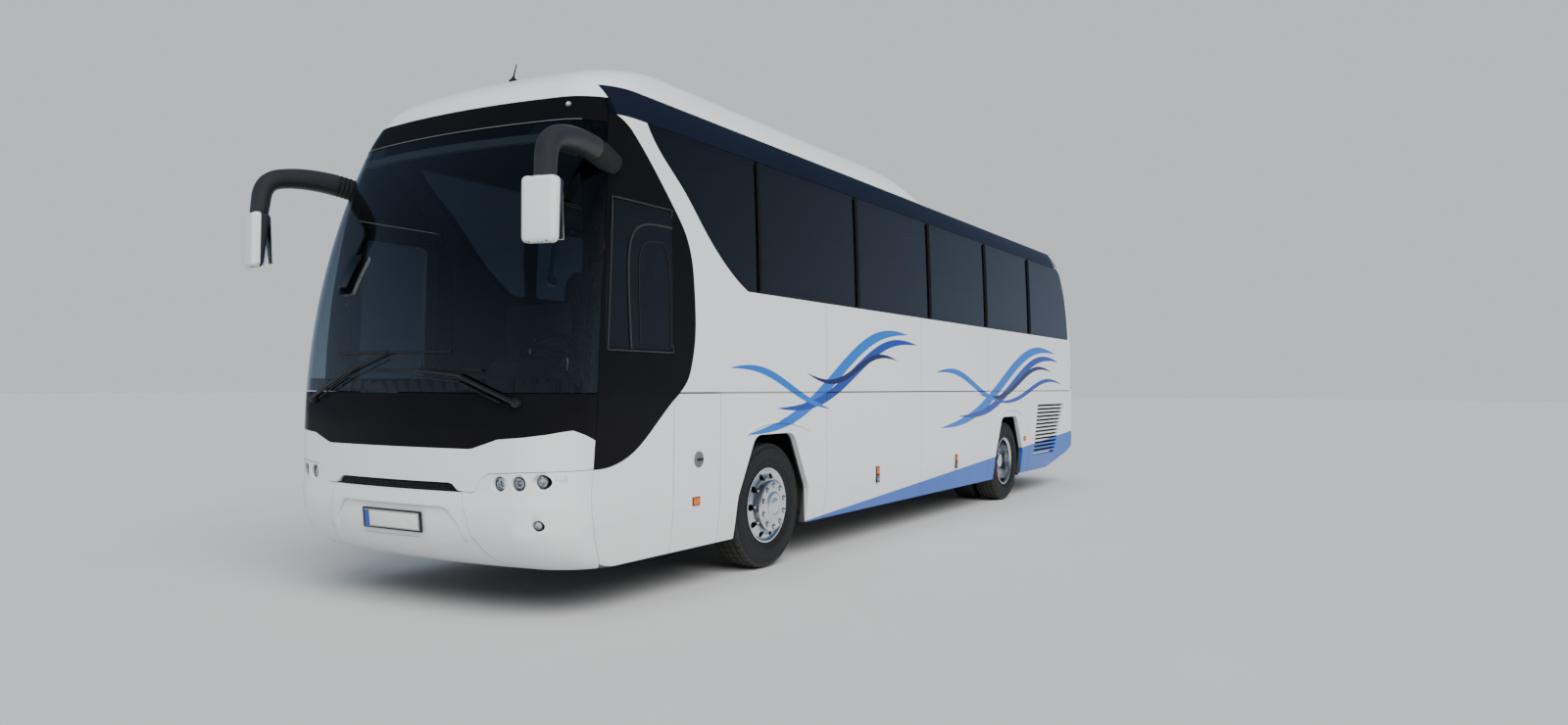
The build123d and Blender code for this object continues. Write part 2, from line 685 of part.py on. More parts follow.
with BuildPart() as rear_wall:
    add(rear_face.part)
    extrude(above_bumper, amount=BOTH, both=True, mode=Mode.SUBTRACT)
    for cut in (cover_hole, tail_lamp_areas(4), rear_gap_area):
        extrude(cut, amount=REAR_DEEP, mode=Mode.SUBTRACT)
    add(rear_rebate, mode=Mode.SUBTRACT)
finish(rear_wall, "rear_wall")
with BuildPart() as engine_cover:
    add(rear_face.part)
    extrude(box_region(*ENGINE_COVER, 32, BACK_WALL), amount=REAR_DEEP, mode=Mode.INTERSECT)
finish(engine_cover, "engine_cover")
rear_recess = extrude(box_region(*REAR_RECESS, 20, BACK_WALL), amount=REAR_DEEP) - hull(RECESS_DEPTH)
with BuildPart() as rear_bumper:
    add(rear_face.part)
    extrude(bumper_area, amount=BOTH, both=True, mode=Mode.INTERSECT)
    add(rear_recess, mode=Mode.SUBTRACT)
finish(rear_bumper, "rear_bumper")

# Doors: each leaf hangs on two bent arms from an upright tube at its rear edge.
ARM_PATH = ((0, 0), (160, -61), (30, -458))
ARM_PIVOT_X = -1150
ARM_THICKNESS = 20
ARM_TUBE_LOW = 381
PIN_RADIUS = 10
# Each door: name, edges, glass from and to, and the heights of its lugs with the side its arm lies on.
DOORS = (
    ("front_door", FRONT_DOOR, (1000, 2620), ((700, 1), (2660, -1))),
    ("middle_door", MIDDLE_DOOR, (900, 2050), ((700, 1), (2100, -1))),
)
for label, (start, end, low, high), (glass_low, glass_high), lugs in DOORS:
    pivot_y = NOSE + end - 70
    pin = (ARM_PIVOT_X + ARM_PATH[-1][0], pivot_y + ARM_PATH[-1][1])
    rebate_area = box_region(start + 76, end - 76, glass_low - 4, glass_high + 4, 64) & behind_seam(66)
    leaf_rebate = extrude(rebate_area, amount=RIGHT) - glass_hull
    glass_area = box_region(start + 80, end - 80, glass_low, glass_high, 60) & behind_seam(70)
    leaf_gap = box_region(start + 110, end - 110, glass_low + 32, glass_high - 32, 50) & behind_seam(104)
    with BuildPart() as leaf:
        add(wall_shell)
        extrude(box_region(start, end, low, high, 14) & behind_seam(8), amount=RIGHT, mode=Mode.INTERSECT)
        add(leaf_rebate, mode=Mode.SUBTRACT)
        extrude(leaf_gap, amount=RIGHT, mode=Mode.SUBTRACT)
        for height, lies in lugs:
            with Locations(((pin[0] - 1220) / 2 + 12, pin[1], height)):
                Box(1220 + pin[0] + 24, 50, 60)
            with Locations((pin[0], pin[1], height)):
                Cylinder(PIN_RADIUS + 1, 80, mode=Mode.SUBTRACT)
    finish(leaf, label)
    with BuildPart() as pane:
        add(glass_shell)
        extrude(glass_area, amount=RIGHT, mode=Mode.INTERSECT)
    finish(pane, f"{label}_glass")
    with BuildPart() as arm:
        for height, lies in lugs:
            with BuildSketch(Plane.XY.offset(height + lies * 46 - ARM_THICKNESS / 2)):
                with BuildLine():
                    Polyline(*[(ARM_PIVOT_X + across, pivot_y + along) for across, along in ARM_PATH])
                trace(line_width=30)
                with Locations((ARM_PIVOT_X, pivot_y), pin):
                    Circle(20)
            extrude(amount=ARM_THICKNESS)
            with Locations((pin[0], pin[1], height + lies * 10)):
                Cylinder(PIN_RADIUS, 92)
        with Locations((ARM_PIVOT_X, pivot_y, ARM_TUBE_LOW)):
            Cylinder(20, lugs[1][0] - ARM_TUBE_LOW, align=(Align.CENTER, Align.CENTER, Align.MIN))
    finish(arm, f"{label}_arm")

# Floors. The cab's floor is low, and a riser with one step leads to the deck.
FLOOR = 40
WELL_X = -1150
WELL_LOW = 345
FRONT_WELL = (545, 1475)
MIDDLE_WELL = (6170, 7110)
AISLE = 330
# Steps: where each one starts across the coach, then its low and high face.
FRONT_STEPS = ((WELL_X, WELL_LOW, 375), (-830, 375, 600), (-560, 600, 780))
MIDDLE_STEPS = (
    (WELL_X, WELL_LOW, 375),
    (-950, 375, 600),
    (-820, 600, 810),
    (-690, 810, 1020),
    (-560, 1020, 1230),
)
MIDDLE_WELL_X = -430
with BuildPart() as cabin_floor:
    add(block((-1250, 1250), (150, 2060), (CAB_FLOOR - FLOOR, CAB_FLOOR)))
    add(block((-1250, 1250), (2030, 2060), (CAB_FLOOR, DECK)))
    add(block((-1250, 1250), (2030, LENGTH), (DECK - FLOOR, DECK)))
    add(block((-AISLE, AISLE), (1750, 2040), (CAB_FLOOR, (CAB_FLOOR + DECK) / 2)))
    add(block((WELL_X - 200, -AISLE), FRONT_WELL, (300, 1400)), mode=Mode.SUBTRACT)
    add(block((WELL_X - 200, MIDDLE_WELL_X), MIDDLE_WELL, (300, 1500)), mode=Mode.SUBTRACT)
    add(lining_hull, mode=Mode.INTERSECT)
finish(cabin_floor, "cabin_floor")

# Stairwells under the floor: steps, an inner wall and a wall at each end.
WELL_WALL = 20
# Each well: name, ends, inner edge, top of its walls and its steps.
WELLS = (
    ("front_stairwell", FRONT_WELL, -AISLE, CAB_FLOOR - FLOOR, FRONT_STEPS),
    ("middle_stairwell", MIDDLE_WELL, MIDDLE_WELL_X, DECK - FLOOR, MIDDLE_STEPS),
)
for label, (start, end), inner, top, steps in WELLS:
    with BuildPart() as stairwell:
        for edge, low, high in steps:
            add(block((edge, inner), (start, end), (low, high)))
        add(block((inner, inner + WELL_WALL), (start - WELL_WALL, end + WELL_WALL), (WELL_LOW, top)))
        add(block((WELL_X, inner), (start - WELL_WALL, start), (WELL_LOW, top)))
        add(block((WELL_X, inner), (end, end + WELL_WALL), (WELL_LOW, top)))
        add(lining_hull, mode=Mode.INTERSECT)
    finish(stairwell, label)

# Chassis: the luggage bay's floor and bulkheads, rails fore and aft, and cross members.
BAY = (3430, 8050)
FRONT_RAIL = (215, 295)
REAR_RAIL = (430, 510)
TOW_HOLE = 16
BAY_FLOOR = 340
PAD_X = 370
PAD_DROP = 15
PAD_PLACES = (3600, 7900)
middle_well_room = block(
    (MIDDLE_WELL_X - 970, MIDDLE_WELL_X + 30),
    (MIDDLE_WELL[0] - 30, MIDDLE_WELL[1] + 30),
    (300, 1380),
)
with BuildPart() as chassis_frame:
    add(block((-1250, 1250), BAY, (BAY_FLOOR, BAY_FLOOR + 30)))
    for edge in (BAY[0], BAY[1] - 30):
        add(block((-1250, 1250), (edge, edge + 30), (BAY_FLOOR, DECK - FLOOR)))
    for side in (-1, 1):
        near, far = sorted((side * FRONT_RAIL[0], side * FRONT_RAIL[1]))
        add(block((near, far), (330, BAY[0]), (480, 620)))
        near, far = sorted((side * REAR_RAIL[0], side * REAR_RAIL[1]))
        add(block((near, far), (BAY[1], 11800), (640, 760)))
    add(block((-700, 700), (270, 330), (420, 620)))
    add(block((-FRONT_RAIL[0], FRONT_RAIL[0]), (1800, 1880), (500, 600)))
    add(block((-900, 900), (11800, 11860), (620, 760)))
    add(middle_well_room, mode=Mode.SUBTRACT)
    for y, z in ((300, 500), (11830, 690)):
        with Locations((0, NOSE + y, z)):
            Cylinder(TOW_HOLE, 100, rotation=(90, 0, 0), mode=Mode.SUBTRACT)
    for side in (-1, 1):
        for y in PAD_PLACES:
            with Locations((side * PAD_X, NOSE + y, BAY_FLOOR - PAD_DROP)):
                Cylinder(60, PAD_DROP, align=(Align.CENTER, Align.CENTER, Align.MIN))
    add(lining_hull, mode=Mode.INTERSECT)
finish(chassis_frame, "chassis_frame")

# Wheel arches: boxes open to the outside and below, wide enough for the steered wheels.
ARCH_WALL = 15
ARCH_BOXES = ((FRONT_AXLE, 640, 500, 1125), (REAR_AXLE, 600, 560, 1125))
with BuildPart() as wheel_arches:
    for axle, half, inside, top in ARCH_BOXES:
        for side in (-1, 1):
            near, far = sorted((side * (inside - ARCH_WALL), side * 1230))
            ends = (axle - half - ARCH_WALL, axle + half + ARCH_WALL)
            add(block((near, far), ends, (400, top + ARCH_WALL)))
            near, far = sorted((side * inside, side * 1300))
            add(block((near, far), (axle - half, axle + half), (300, top)), mode=Mode.SUBTRACT)
    for side in (-1, 1):
        near, far = sorted((side * (ARCH_BOXES[1][2] - 40), side * (ARCH_BOXES[1][2] + 40)))
        add(block((near, far), (REAR_AXLE - 120, REAR_AXLE + 120), (380, 660)), mode=Mode.SUBTRACT)
        near, far = sorted((side * (ARCH_BOXES[0][2] - 40), side * (ARCH_BOXES[0][2] + 40)))
        add(block((near, far), (FRONT_AXLE - 90, FRONT_AXLE + 90), (380, 480)), mode=Mode.SUBTRACT)
    add(lining_hull, mode=Mode.INTERSECT)
finish(wheel_arches, "wheel_arches")

with BuildPart() as engine_block:
    add(block((-400, 400), (9950, 11550), (500, 1300)))
    fillet(engine_block.edges().filter_by(Axis.Y), 60)
finish(engine_block, "engine_block")
with BuildPart() as radiator:
    add(block((1040, 1120), (9860, 11440), (520, 1300)))
    chamfer(radiator.edges().filter_by(Axis.Y), 10)
finish(radiator, "radiator")

# Axles, knuckles and wheels.
HUB_HEIGHT = 510
TYRE_RADIUS = 510
TYRE_HALF = 149
WHEEL_X = 1075
TWIN_GAP = 335
KINGPIN_X = 930
STEERING_ARM_HEIGHT = 525
with BuildPart() as front_axle_beam:
    add(block((-880, 880), (FRONT_AXLE - 50, FRONT_AXLE + 50), (350, 450)))
    fillet(front_axle_beam.edges().filter_by(Axis.X), 15)
    for side in (-1, 1):
        with Locations((side * 260, NOSE + (FRONT_AXLE + BAY[0]) / 2, 400)):
            Cylinder(24, BAY[0] - FRONT_AXLE, rotation=(90, 0, 0))
finish(front_axle_beam, "front_axle_beam")
with BuildPart() as rear_axle:
    with Locations((0, NOSE + REAR_AXLE, HUB_HEIGHT)):
        Cylinder(60, 1740, rotation=(0, 90, 0))
        Cylinder(185, 240, rotation=(0, 90, 0))
        Cone(120, 185, 160, rotation=(0, 90, 0), align=(Align.CENTER, Align.CENTER, Align.MAX))
    with Locations((0, NOSE + REAR_AXLE - 250, HUB_HEIGHT)):
        Cylinder(70, 300, rotation=(90, 0, 0))
    for side in (-1, 1):
        with Locations((side * 700, NOSE + REAR_AXLE, HUB_HEIGHT)):
            Cylinder(200, 180, rotation=(0, 90, 0))
finish(rear_axle, "rear_axle")
for side, name in ((1, "left"), (-1, "right")):
    with BuildPart() as knuckle:
        with Locations((side * KINGPIN_X, NOSE + FRONT_AXLE, HUB_HEIGHT)):
            Cylinder(38, 360)
        with Locations((side * (KINGPIN_X + 110), NOSE + FRONT_AXLE, HUB_HEIGHT)):
            Cylinder(42, 220, rotation=(0, 90, 0))
        with Locations((side * (KINGPIN_X + 60), NOSE + FRONT_AXLE, HUB_HEIGHT)):
            Cylinder(210, 40, rotation=(0, 90, 0))
        with Locations((side * (KINGPIN_X - 10), NOSE + FRONT_AXLE + 120, STEERING_ARM_HEIGHT)):
            Box(36, 200, 36)
    finish(knuckle, f"{name}_knuckle")


def wheel_plane(axle):
    """Gives the upright plane through a wheel's middle, with the axle line as its level axis."""
    return Plane(origin=(0, NOSE + axle, HUB_HEIGHT), x_dir=(1, 0, 0), z_dir=(0, -1, 0))


def across_axle(x, axle):
    """Gives the upright plane square to a wheel's axle line at a distance from the coach's middle."""
    return Plane(origin=(x, NOSE + axle, HUB_HEIGHT), x_dir=(0, 1, 0), z_dir=(1, 0, 0))


def tyre(middle, axle):
    """Turns one tyre about its axle, with rounded shoulders and sidewalls."""
    with BuildPart() as turned:
        with BuildSketch(wheel_plane(axle)):
            with BuildLine():
                Polyline((middle + 112, 307), (middle + 112, 290), (middle - 112, 290), (middle - 112, 307))
                ThreePointArc((middle - 112, 307), (middle - TYRE_HALF, 392), (middle - 134, 478))
                ThreePointArc((middle - 134, 478), (middle - 126, 495), (middle - 108, 502))
                ThreePointArc((middle - 108, 502), (middle, TYRE_RADIUS), (middle + 108, 502))
                ThreePointArc((middle + 108, 502), (middle + 126, 495), (middle + 134, 478))
                ThreePointArc((middle + 134, 478), (middle + TYRE_HALF, 392), (middle + 112, 307))
            make_face()
        revolve(axis=Axis((0, NOSE + axle, HUB_HEIGHT), (1, 0, 0)))
    return turned.part


# Rim sections: distance outward from the wheel's middle and radius.
FRONT_RIM = (
    (-124, 304), (-113, 304), (-113, 289.5), (113, 289.5), (113, 304), (124, 304), (124, 292), (113, 281),
    (107, 273), (105, 263), (110, 240), (122, 223), (150, 215), (174, 209), (183, 200), (186, 188),
    (186, 116), (190, 109), (192, 100), (192, 0), (98, 0), (98, 120), (150, 132), (158, 148), (158, 190),
    (144, 200), (110, 208), (96, 228), (88, 262), (60, 270), (-100, 272), (-124, 292),
)
OUTER_RIM = (
    (-124, 304), (-113, 304), (-113, 289.5), (113, 289.5), (113, 304), (124, 304), (124, 292), (104, 276),
    (-60, 266), (-96, 250), (-150, 180), (-155, 130), (20, 126), (26, 100), (40, 92), (40, 0),
    (-167.5, 0), (-167.5, 185), (-118, 255), (-124, 292),
)
INNER_RIM = (
    (124, 304), (113, 304), (113, 289.5), (-113, 289.5), (-113, 304), (-124, 304), (-124, 292), (-100, 276),
    (60, 266), (92, 250), (150, 178), (150, 150), (167.5, 150), (167.5, 185), (118, 255), (124, 292),
)
HAND_HOLES = 10
# Nut pockets in the front rims: ring radius, pocket radius and where their floor lies.
NUT_RING = 167.5
NUT_POCKET = 24
POCKET_FLOOR = 170


def rim_part(side, profile, middle, axle, hole_ring, hole_radius, holes_from):
    """Turns one rim about its axle and cuts the ring of hand holes."""
    line = Axis((0, NOSE + axle, HUB_HEIGHT), (1, 0, 0))
    with BuildPart() as turned:
        with BuildSketch(wheel_plane(axle)):
            with BuildLine():
                Polyline(*[(side * (middle + out), radius) for out, radius in profile], close=True)
            make_face()
        revolve(axis=line)
        with BuildSketch(across_axle(side * (middle + holes_from), axle)):
            with PolarLocations(hole_ring, HAND_HOLES):
                Circle(hole_radius)
        extrude(amount=side * 500, mode=Mode.SUBTRACT)
    return turned.part


for side, name in ((1, "left"), (-1, "right")):
    with BuildPart() as front_tyre:
        add(tyre(side * WHEEL_X, FRONT_AXLE))
    finish(front_tyre, f"front_{name}_tyre")
    with BuildPart() as front_rim:
        add(rim_part(side, FRONT_RIM, WHEEL_X, FRONT_AXLE, 240, 27, 76))
        with BuildSketch(across_axle(side * (WHEEL_X + POCKET_FLOOR), FRONT_AXLE)):
            with PolarLocations(NUT_RING, HAND_HOLES, 18):
                Circle(NUT_POCKET)
        extrude(amount=side * 60, mode=Mode.SUBTRACT)
    finish(front_rim, f"front_{name}_rim")
    with BuildPart() as rear_tyres:
        add(tyre(side * WHEEL_X, REAR_AXLE))
        add(tyre(side * (WHEEL_X - TWIN_GAP), REAR_AXLE))
    finish(rear_tyres, f"rear_{name}_tyres")
    with BuildPart() as rear_rims:
        add(rim_part(side, OUTER_RIM, WHEEL_X, REAR_AXLE, 216, 24, -WHEEL_X))
        add(rim_part(side, INNER_RIM, WHEEL_X - TWIN_GAP, REAR_AXLE, 216, 24, TWIN_GAP - WHEEL_X))
    finish(rear_rims, f"rear_{name}_rims")

# Driver's place.
DRIVER_X = 620
WHEEL_TILT = 28
STEERING = (DRIVER_X, NOSE + 830, 1640)
DASH_SIDE = (
    (300, CAB_FLOOR),
    (640, CAB_FLOOR),
    (640, 1180),
    (700, 1250),
    (690, 1430),
    (600, 1500),
    (300, 1500),
)
with BuildPart() as dashboard:
    extrude(region(DASH_SIDE), amount=1250)
    extrude(region(DASH_SIDE), amount=-300)
    add(block((-1250, -300), (300, 520), (CAB_FLOOR, 1330)))
    add(lining_hull, mode=Mode.INTERSECT)
finish(dashboard, "dashboard")
column_way = (0, sin(radians(WHEEL_TILT)), cos(radians(WHEEL_TILT)))
steering_plane = Plane(origin=STEERING, x_dir=(1, 0, 0), z_dir=column_way)
with BuildPart(steering_plane) as steering_wheel:
    Torus(225, 17)
    Cylinder(60, 40)
    for turn in (90, 210, 330):
        with Locations(Location((0, 0, 0), (0, 0, turn))):
            with Locations((112, 0, 0)):
                Box(200, 36, 16)
    with Locations((0, 0, -80)):
        Cylinder(28, 130)
finish(steering_wheel, "steering_wheel")
DRIVER_SEAT_SIDE = (
    (1130, 1320),
    (1110, 1400),
    (1140, 1440),
    (1560, 1420),
    (1640, 2080),
    (1700, 2100),
    (1760, 2060),
    (1690, 1340),
    (1640, 1310),
)
with BuildPart() as driver_seat:
    add(block((DRIVER_X - 160, DRIVER_X + 160), (1180, 1560), (CAB_FLOOR, 1330)))
    extrude(Pos(DRIVER_X - 240, 0, 0) * region(DRIVER_SEAT_SIDE), amount=480)
    add(block((DRIVER_X - 130, DRIVER_X + 130), (1660, 1750), (2080, 2290)))
finish(driver_seat, "driver_seat")

# Passenger seats in pairs, one row every pitch, with none beside the middle stairs.
SEAT_PITCH = 800
SEAT_ROWS = 11
FIRST_ROW = 2350
SEAT_WIDTH = 435
SEAT_X = (265, 710)
SEAT_SIDE = (
    (0, 390),
    (-10, 440),
    (30, 470),
    (400, 445),
    (520, 1110),
    (570, 1150),
    (640, 1130),
    (640, 1060),
    (530, 400),
    (480, 370),
)
for side, name in ((1, "left"), (-1, "right")):
    with BuildPart() as seats:
        for row in range(SEAT_ROWS):
            start = FIRST_ROW + row * SEAT_PITCH
            beside_stairs = start + 680 > MIDDLE_WELL[0] and start < MIDDLE_WELL[1] + 80
            if side < 0 and beside_stairs:
                continue
            for inner in SEAT_X:
                extrude(Pos(side * inner, start, DECK) * region(SEAT_SIDE), amount=side * SEAT_WIDTH)
            near, far = sorted((side * 300, side * 1110))
            add(block((near, far), (start + 180, start + 240), (DECK + 300, DECK + 400)))
            for leg in (420, 940):
                near, far = sorted((side * leg, side * (leg + 40)))
                add(block((near, far), (start + 120, start + 320), (DECK, DECK + 330)))
    finish(seats, f"{name}_seats")

# Mirrors on horn-shaped arms, and wipers that lie just off the glass.
HORN_RADIUS = 60
ARM_ROUTE = ((1205, 700, 2960), (1270, 480, 3030), (1330, 200, 3050), (1360, -30, 2960), (1360, -50, 2690))
with BuildPart() as mirrors:
    for side in (1, -1):
        with BuildLine() as route:
            FilletPolyline(*[(side * x, NOSE + y, z) for x, y, z in ARM_ROUTE], radius=90)
        with BuildSketch(Plane(origin=route.line @ 0, z_dir=route.line % 0)):
            Circle(HORN_RADIUS)
        sweep(path=route.line)
        with BuildSketch(Plane.XZ.offset(-(NOSE - 175))):
            with Locations((side * 1360, 2500)):
                RectangleRounded(280, 400, 60)
        extrude(amount=-195)
    add(outer_hull, mode=Mode.SUBTRACT)
finish(mirrors, "mirrors")
WIPER_GAP = 14
WIPER_DEPTH = 22
# Each wiper: its pivot, its arm's knee, the arm's end on the blade, then the blade's ends and height.
WIPERS = (
    ((1000, 1372), (576, 1545), (230, 1570), (-280, 743, 1570)),
    ((-904, 1380), (-480, 1560), (-80, 1690), (-648, 485, 1690)),
)
wiper_shell = hull(-WIPER_GAP - WIPER_DEPTH) - hull(-WIPER_GAP)
with BuildPart() as wipers:
    add(wiper_shell)
    with BuildSketch(NOSE_WALL):
        for pivot, knee, tip, (start, end, height) in WIPERS:
            with BuildLine():
                Polyline(pivot, knee, tip)
            trace(line_width=34)
            with Locations(((start + end) / 2, height)):
                Rectangle(end - start, 30)
            with Locations(pivot):
                Circle(40)
    extrude(amount=DEEP, mode=Mode.INTERSECT)
finish(wipers, "wipers")
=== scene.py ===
# %% [markdown]
# The imported coach is the frame of this scene: every part already stands at its real place, in metres,
# with the nose at low Y, the coach's left side at high X and the road at Z 0.
# This first step loads it and reads from the boxes of its parts where the nose, the tail, the sides and the
# wheel hubs are.

# %% Load the frame
import math

import bmesh
import bpy
from mathutils import Matrix, Vector
from mathutils.bvhtree import BVHTree


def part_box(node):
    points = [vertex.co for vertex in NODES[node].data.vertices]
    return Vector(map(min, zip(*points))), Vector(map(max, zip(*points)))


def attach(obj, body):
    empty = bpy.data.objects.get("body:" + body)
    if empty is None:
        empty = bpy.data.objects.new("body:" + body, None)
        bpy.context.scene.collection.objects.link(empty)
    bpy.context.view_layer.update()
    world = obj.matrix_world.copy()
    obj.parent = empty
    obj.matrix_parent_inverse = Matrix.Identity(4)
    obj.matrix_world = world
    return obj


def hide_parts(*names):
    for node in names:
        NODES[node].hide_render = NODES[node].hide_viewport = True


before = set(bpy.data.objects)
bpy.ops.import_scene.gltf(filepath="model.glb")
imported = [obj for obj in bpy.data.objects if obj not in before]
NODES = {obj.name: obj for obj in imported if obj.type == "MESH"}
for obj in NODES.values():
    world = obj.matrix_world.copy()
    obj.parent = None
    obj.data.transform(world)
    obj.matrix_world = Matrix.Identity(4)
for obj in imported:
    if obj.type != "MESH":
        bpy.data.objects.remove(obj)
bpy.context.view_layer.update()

NOSE_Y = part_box("front_mask")[0].y
TAIL_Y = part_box("rear_wall")[1].y
HALF_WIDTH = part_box("left_side_wall")[1].x
HUB = {axle: (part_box(f"{axle}_left_rim")[0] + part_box(f"{axle}_left_rim")[1]) / 2 for axle in ("front",)}
HUB["rear"] = (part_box("rear_left_rims")[0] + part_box("rear_left_rims")[1]) / 2
print("frame of", len(NODES), "nodes, nose at", round(NOSE_Y, 3), "and tail at", round(TAIL_Y, 3))

# %% [markdown]
# The camera stands where a person with a wide phone lens would stand: about ten metres from the front axle,
# at chest height, to the left of the nose. A camera is a matrix, so its right, up and backward directions
# are its columns.

# %% Place the camera
CAMERA_PLACE = Vector((5.591, -10.483, 1.486))
CAMERA_FORWARD = Vector((-0.5025, 0.86429, 0.0223))
CAMERA_UP = Vector((0.00669, -0.0219, 0.99974))
CAMERA_LENS_MM = 23.85
CAMERA_REACH = 400


def place_camera():
    """Makes the scene's camera from its place, its forward direction and its upward one."""
    data = bpy.data.cameras.new("camera")
    data.lens = CAMERA_LENS_MM
    data.clip_end = CAMERA_REACH
    camera = bpy.data.objects.new("camera", data)
    right = CAMERA_FORWARD.cross(CAMERA_UP)
    turn = Matrix((right, CAMERA_UP, -CAMERA_FORWARD)).transposed()
    camera.matrix_world = Matrix.Translation(CAMERA_PLACE) @ turn.to_4x4()
    bpy.context.scene.collection.objects.link(camera)
    bpy.context.scene.camera = camera


place_camera()
print("camera", round((CAMERA_PLACE - HUB["front"]).length, 2), "m from the front wheel")

# %% [markdown]
# Materials are built from nodes. Small helpers keep that readable: they add a node, add a Math node and link or
# set its inputs, mix two colours or two values, and start and finish a material with its Principled shader.
# All patterns read Object coordinates, which here are the coach's own coordinates in metres,
# so a stripe runs on from a wall to a flap and still moves with the flap.

# %% Node helpers


def add_node(tree, kind, **settings):
    """Adds a node of a kind to a tree and sets its properties."""
    made = tree.nodes.new(kind)
    for key, value in settings.items():
        setattr(made, key, value)
    return made


def feed(tree, socket, value):
    """Links a socket to another, or sets it to a plain value."""
    if isinstance(value, bpy.types.NodeSocket):
        tree.links.new(value, socket)
    else:
        socket.default_value = value


def calc(tree, operation, *values, clamp=False):
    """Adds a Math node with these inputs and gives its output."""
    made = add_node(tree, "ShaderNodeMath", operation=operation, use_clamp=clamp)
    for socket, value in zip(made.inputs, values):
        feed(tree, socket, value)
    return made.outputs[0]


def mix_colour(tree, mask, below, above):
    """Adds a Mix node that goes from one colour to another where the mask is 1."""
    made = add_node(tree, "ShaderNodeMix", data_type="RGBA")
    feed(tree, made.inputs["Factor"], mask)
    feed(tree, made.inputs[6], below)
    feed(tree, made.inputs[7], above)
    return made.outputs[2]


def mix_value(tree, mask, below, above):
    """Adds a Map Range node that goes from one value to another where the mask is 1."""
    made = add_node(tree, "ShaderNodeMapRange")
    feed(tree, made.inputs["Value"], mask)
    feed(tree, made.inputs["To Min"], below)
    feed(tree, made.inputs["To Max"], above)
    return made.outputs["Result"]


def axes_of(tree, place):
    """Splits a place into its X, Y and Z."""
    parts = add_node(tree, "ShaderNodeSeparateXYZ")
    tree.links.new(place, parts.inputs[0])
    return tuple(parts.outputs)


def noise(tree, place, scale, detail=3.0, roughness=0.5):
    """Adds a Noise texture on a place and gives its value."""
    made = add_node(tree, "ShaderNodeTexNoise")
    feed(tree, made.inputs["Vector"], place)
    made.inputs["Scale"].default_value = scale
    made.inputs["Detail"].default_value = detail
    made.inputs["Roughness"].default_value = roughness
    return made.outputs["Fac"]


def start_material(name, **values):
    """Starts a material. Gives it, its tree, its shader with these values set, and its Object coordinates."""
    material = bpy.data.materials.new(name)
    material.use_nodes = True
    tree = material.node_tree
    shader = tree.nodes["Principled BSDF"]
    for label, value in values.items():
        shader.inputs[label.replace("_", " ")].default_value = value
    return material, tree, shader, add_node(tree, "ShaderNodeTexCoord").outputs["Object"]


def finish_shader(tree, shader, colour, rough, height=None, strength=0.5, distance=0.001):
    """Feeds a colour, a roughness and, through a Bump node, a height into a shader."""
    feed(tree, shader.inputs["Base Color"], colour)
    feed(tree, shader.inputs["Roughness"], rough)
    if height is not None:
        made = add_node(tree, "ShaderNodeBump")
        made.inputs["Strength"].default_value = strength
        made.inputs["Distance"].default_value = distance
        feed(tree, made.inputs["Height"], height)
        tree.links.new(made.outputs["Normal"], shader.inputs["Normal"])


# %% [markdown]
# Four effects turn up on many parts, so each is a node group, built once: road dust that thins out with
# height, the line of a panel joint, a tapered ribbon for the livery, and the soft ripple of sprayed paint.
# A group only gives masks and heights. The shader stays in each material.

# %% Shared node groups


def start_group(name, inputs, outputs):
    """Starts a shader node group with named inputs and outputs, each a name with its kind and first value."""
    group = bpy.data.node_groups.new(name, "ShaderNodeTree")
    for label, kind, value in inputs:
        socket = group.interface.new_socket(label, in_out="INPUT", socket_type=kind)
        if value is not None:
            socket.default_value = value
    for label in outputs:
        group.interface.new_socket(label, in_out="OUTPUT", socket_type="NodeSocketFloat")
    entry = add_node(group, "NodeGroupInput").outputs
    ending = add_node(group, "NodeGroupOutput").inputs
    return group, entry, ending


def make_dust_group():
    """Dust lies thick near the road and thins out with height, broken up by two sizes of noise."""
    group, entry, ending = start_group(
        "road_dust",
        (("Vector", "NodeSocketVector", None), ("Top", "NodeSocketFloat", 1.0),
         ("Amount", "NodeSocketFloat", 0.5)),
        ("Mask",),
    )
    height = calc(group, "DIVIDE", axes_of(group, entry["Vector"])[2], entry["Top"])
    low = calc(group, "SUBTRACT", 1.0, height, clamp=True)
    low = calc(group, "POWER", low, 1.6)
    cloud = noise(group, entry["Vector"], 2.2, 5.0, 0.6)
    speck = noise(group, entry["Vector"], 90.0, 2.0)
    cloud = calc(group, "MULTIPLY", cloud, calc(group, "ADD", speck, 0.6))
    mask = calc(group, "MULTIPLY", low, cloud)
    mask = calc(group, "MULTIPLY", mask, entry["Amount"], clamp=True)
    group.links.new(mask, ending["Mask"])
    return group


def make_line_group():
    """A panel joint is a thin line where a coordinate is close to a place."""
    group, entry, ending = start_group(
        "panel_line",
        (("Value", "NodeSocketFloat", 0.0), ("Place", "NodeSocketFloat", 0.0),
         ("Width", "NodeSocketFloat", 0.004)),
        ("Mask",),
    )
    away = calc(group, "ABSOLUTE", calc(group, "SUBTRACT", entry["Value"], entry["Place"]))
    mask = calc(group, "SUBTRACT", 1.0, calc(group, "DIVIDE", away, entry["Width"]), clamp=True)
    group.links.new(mask, ending["Mask"])
    return group


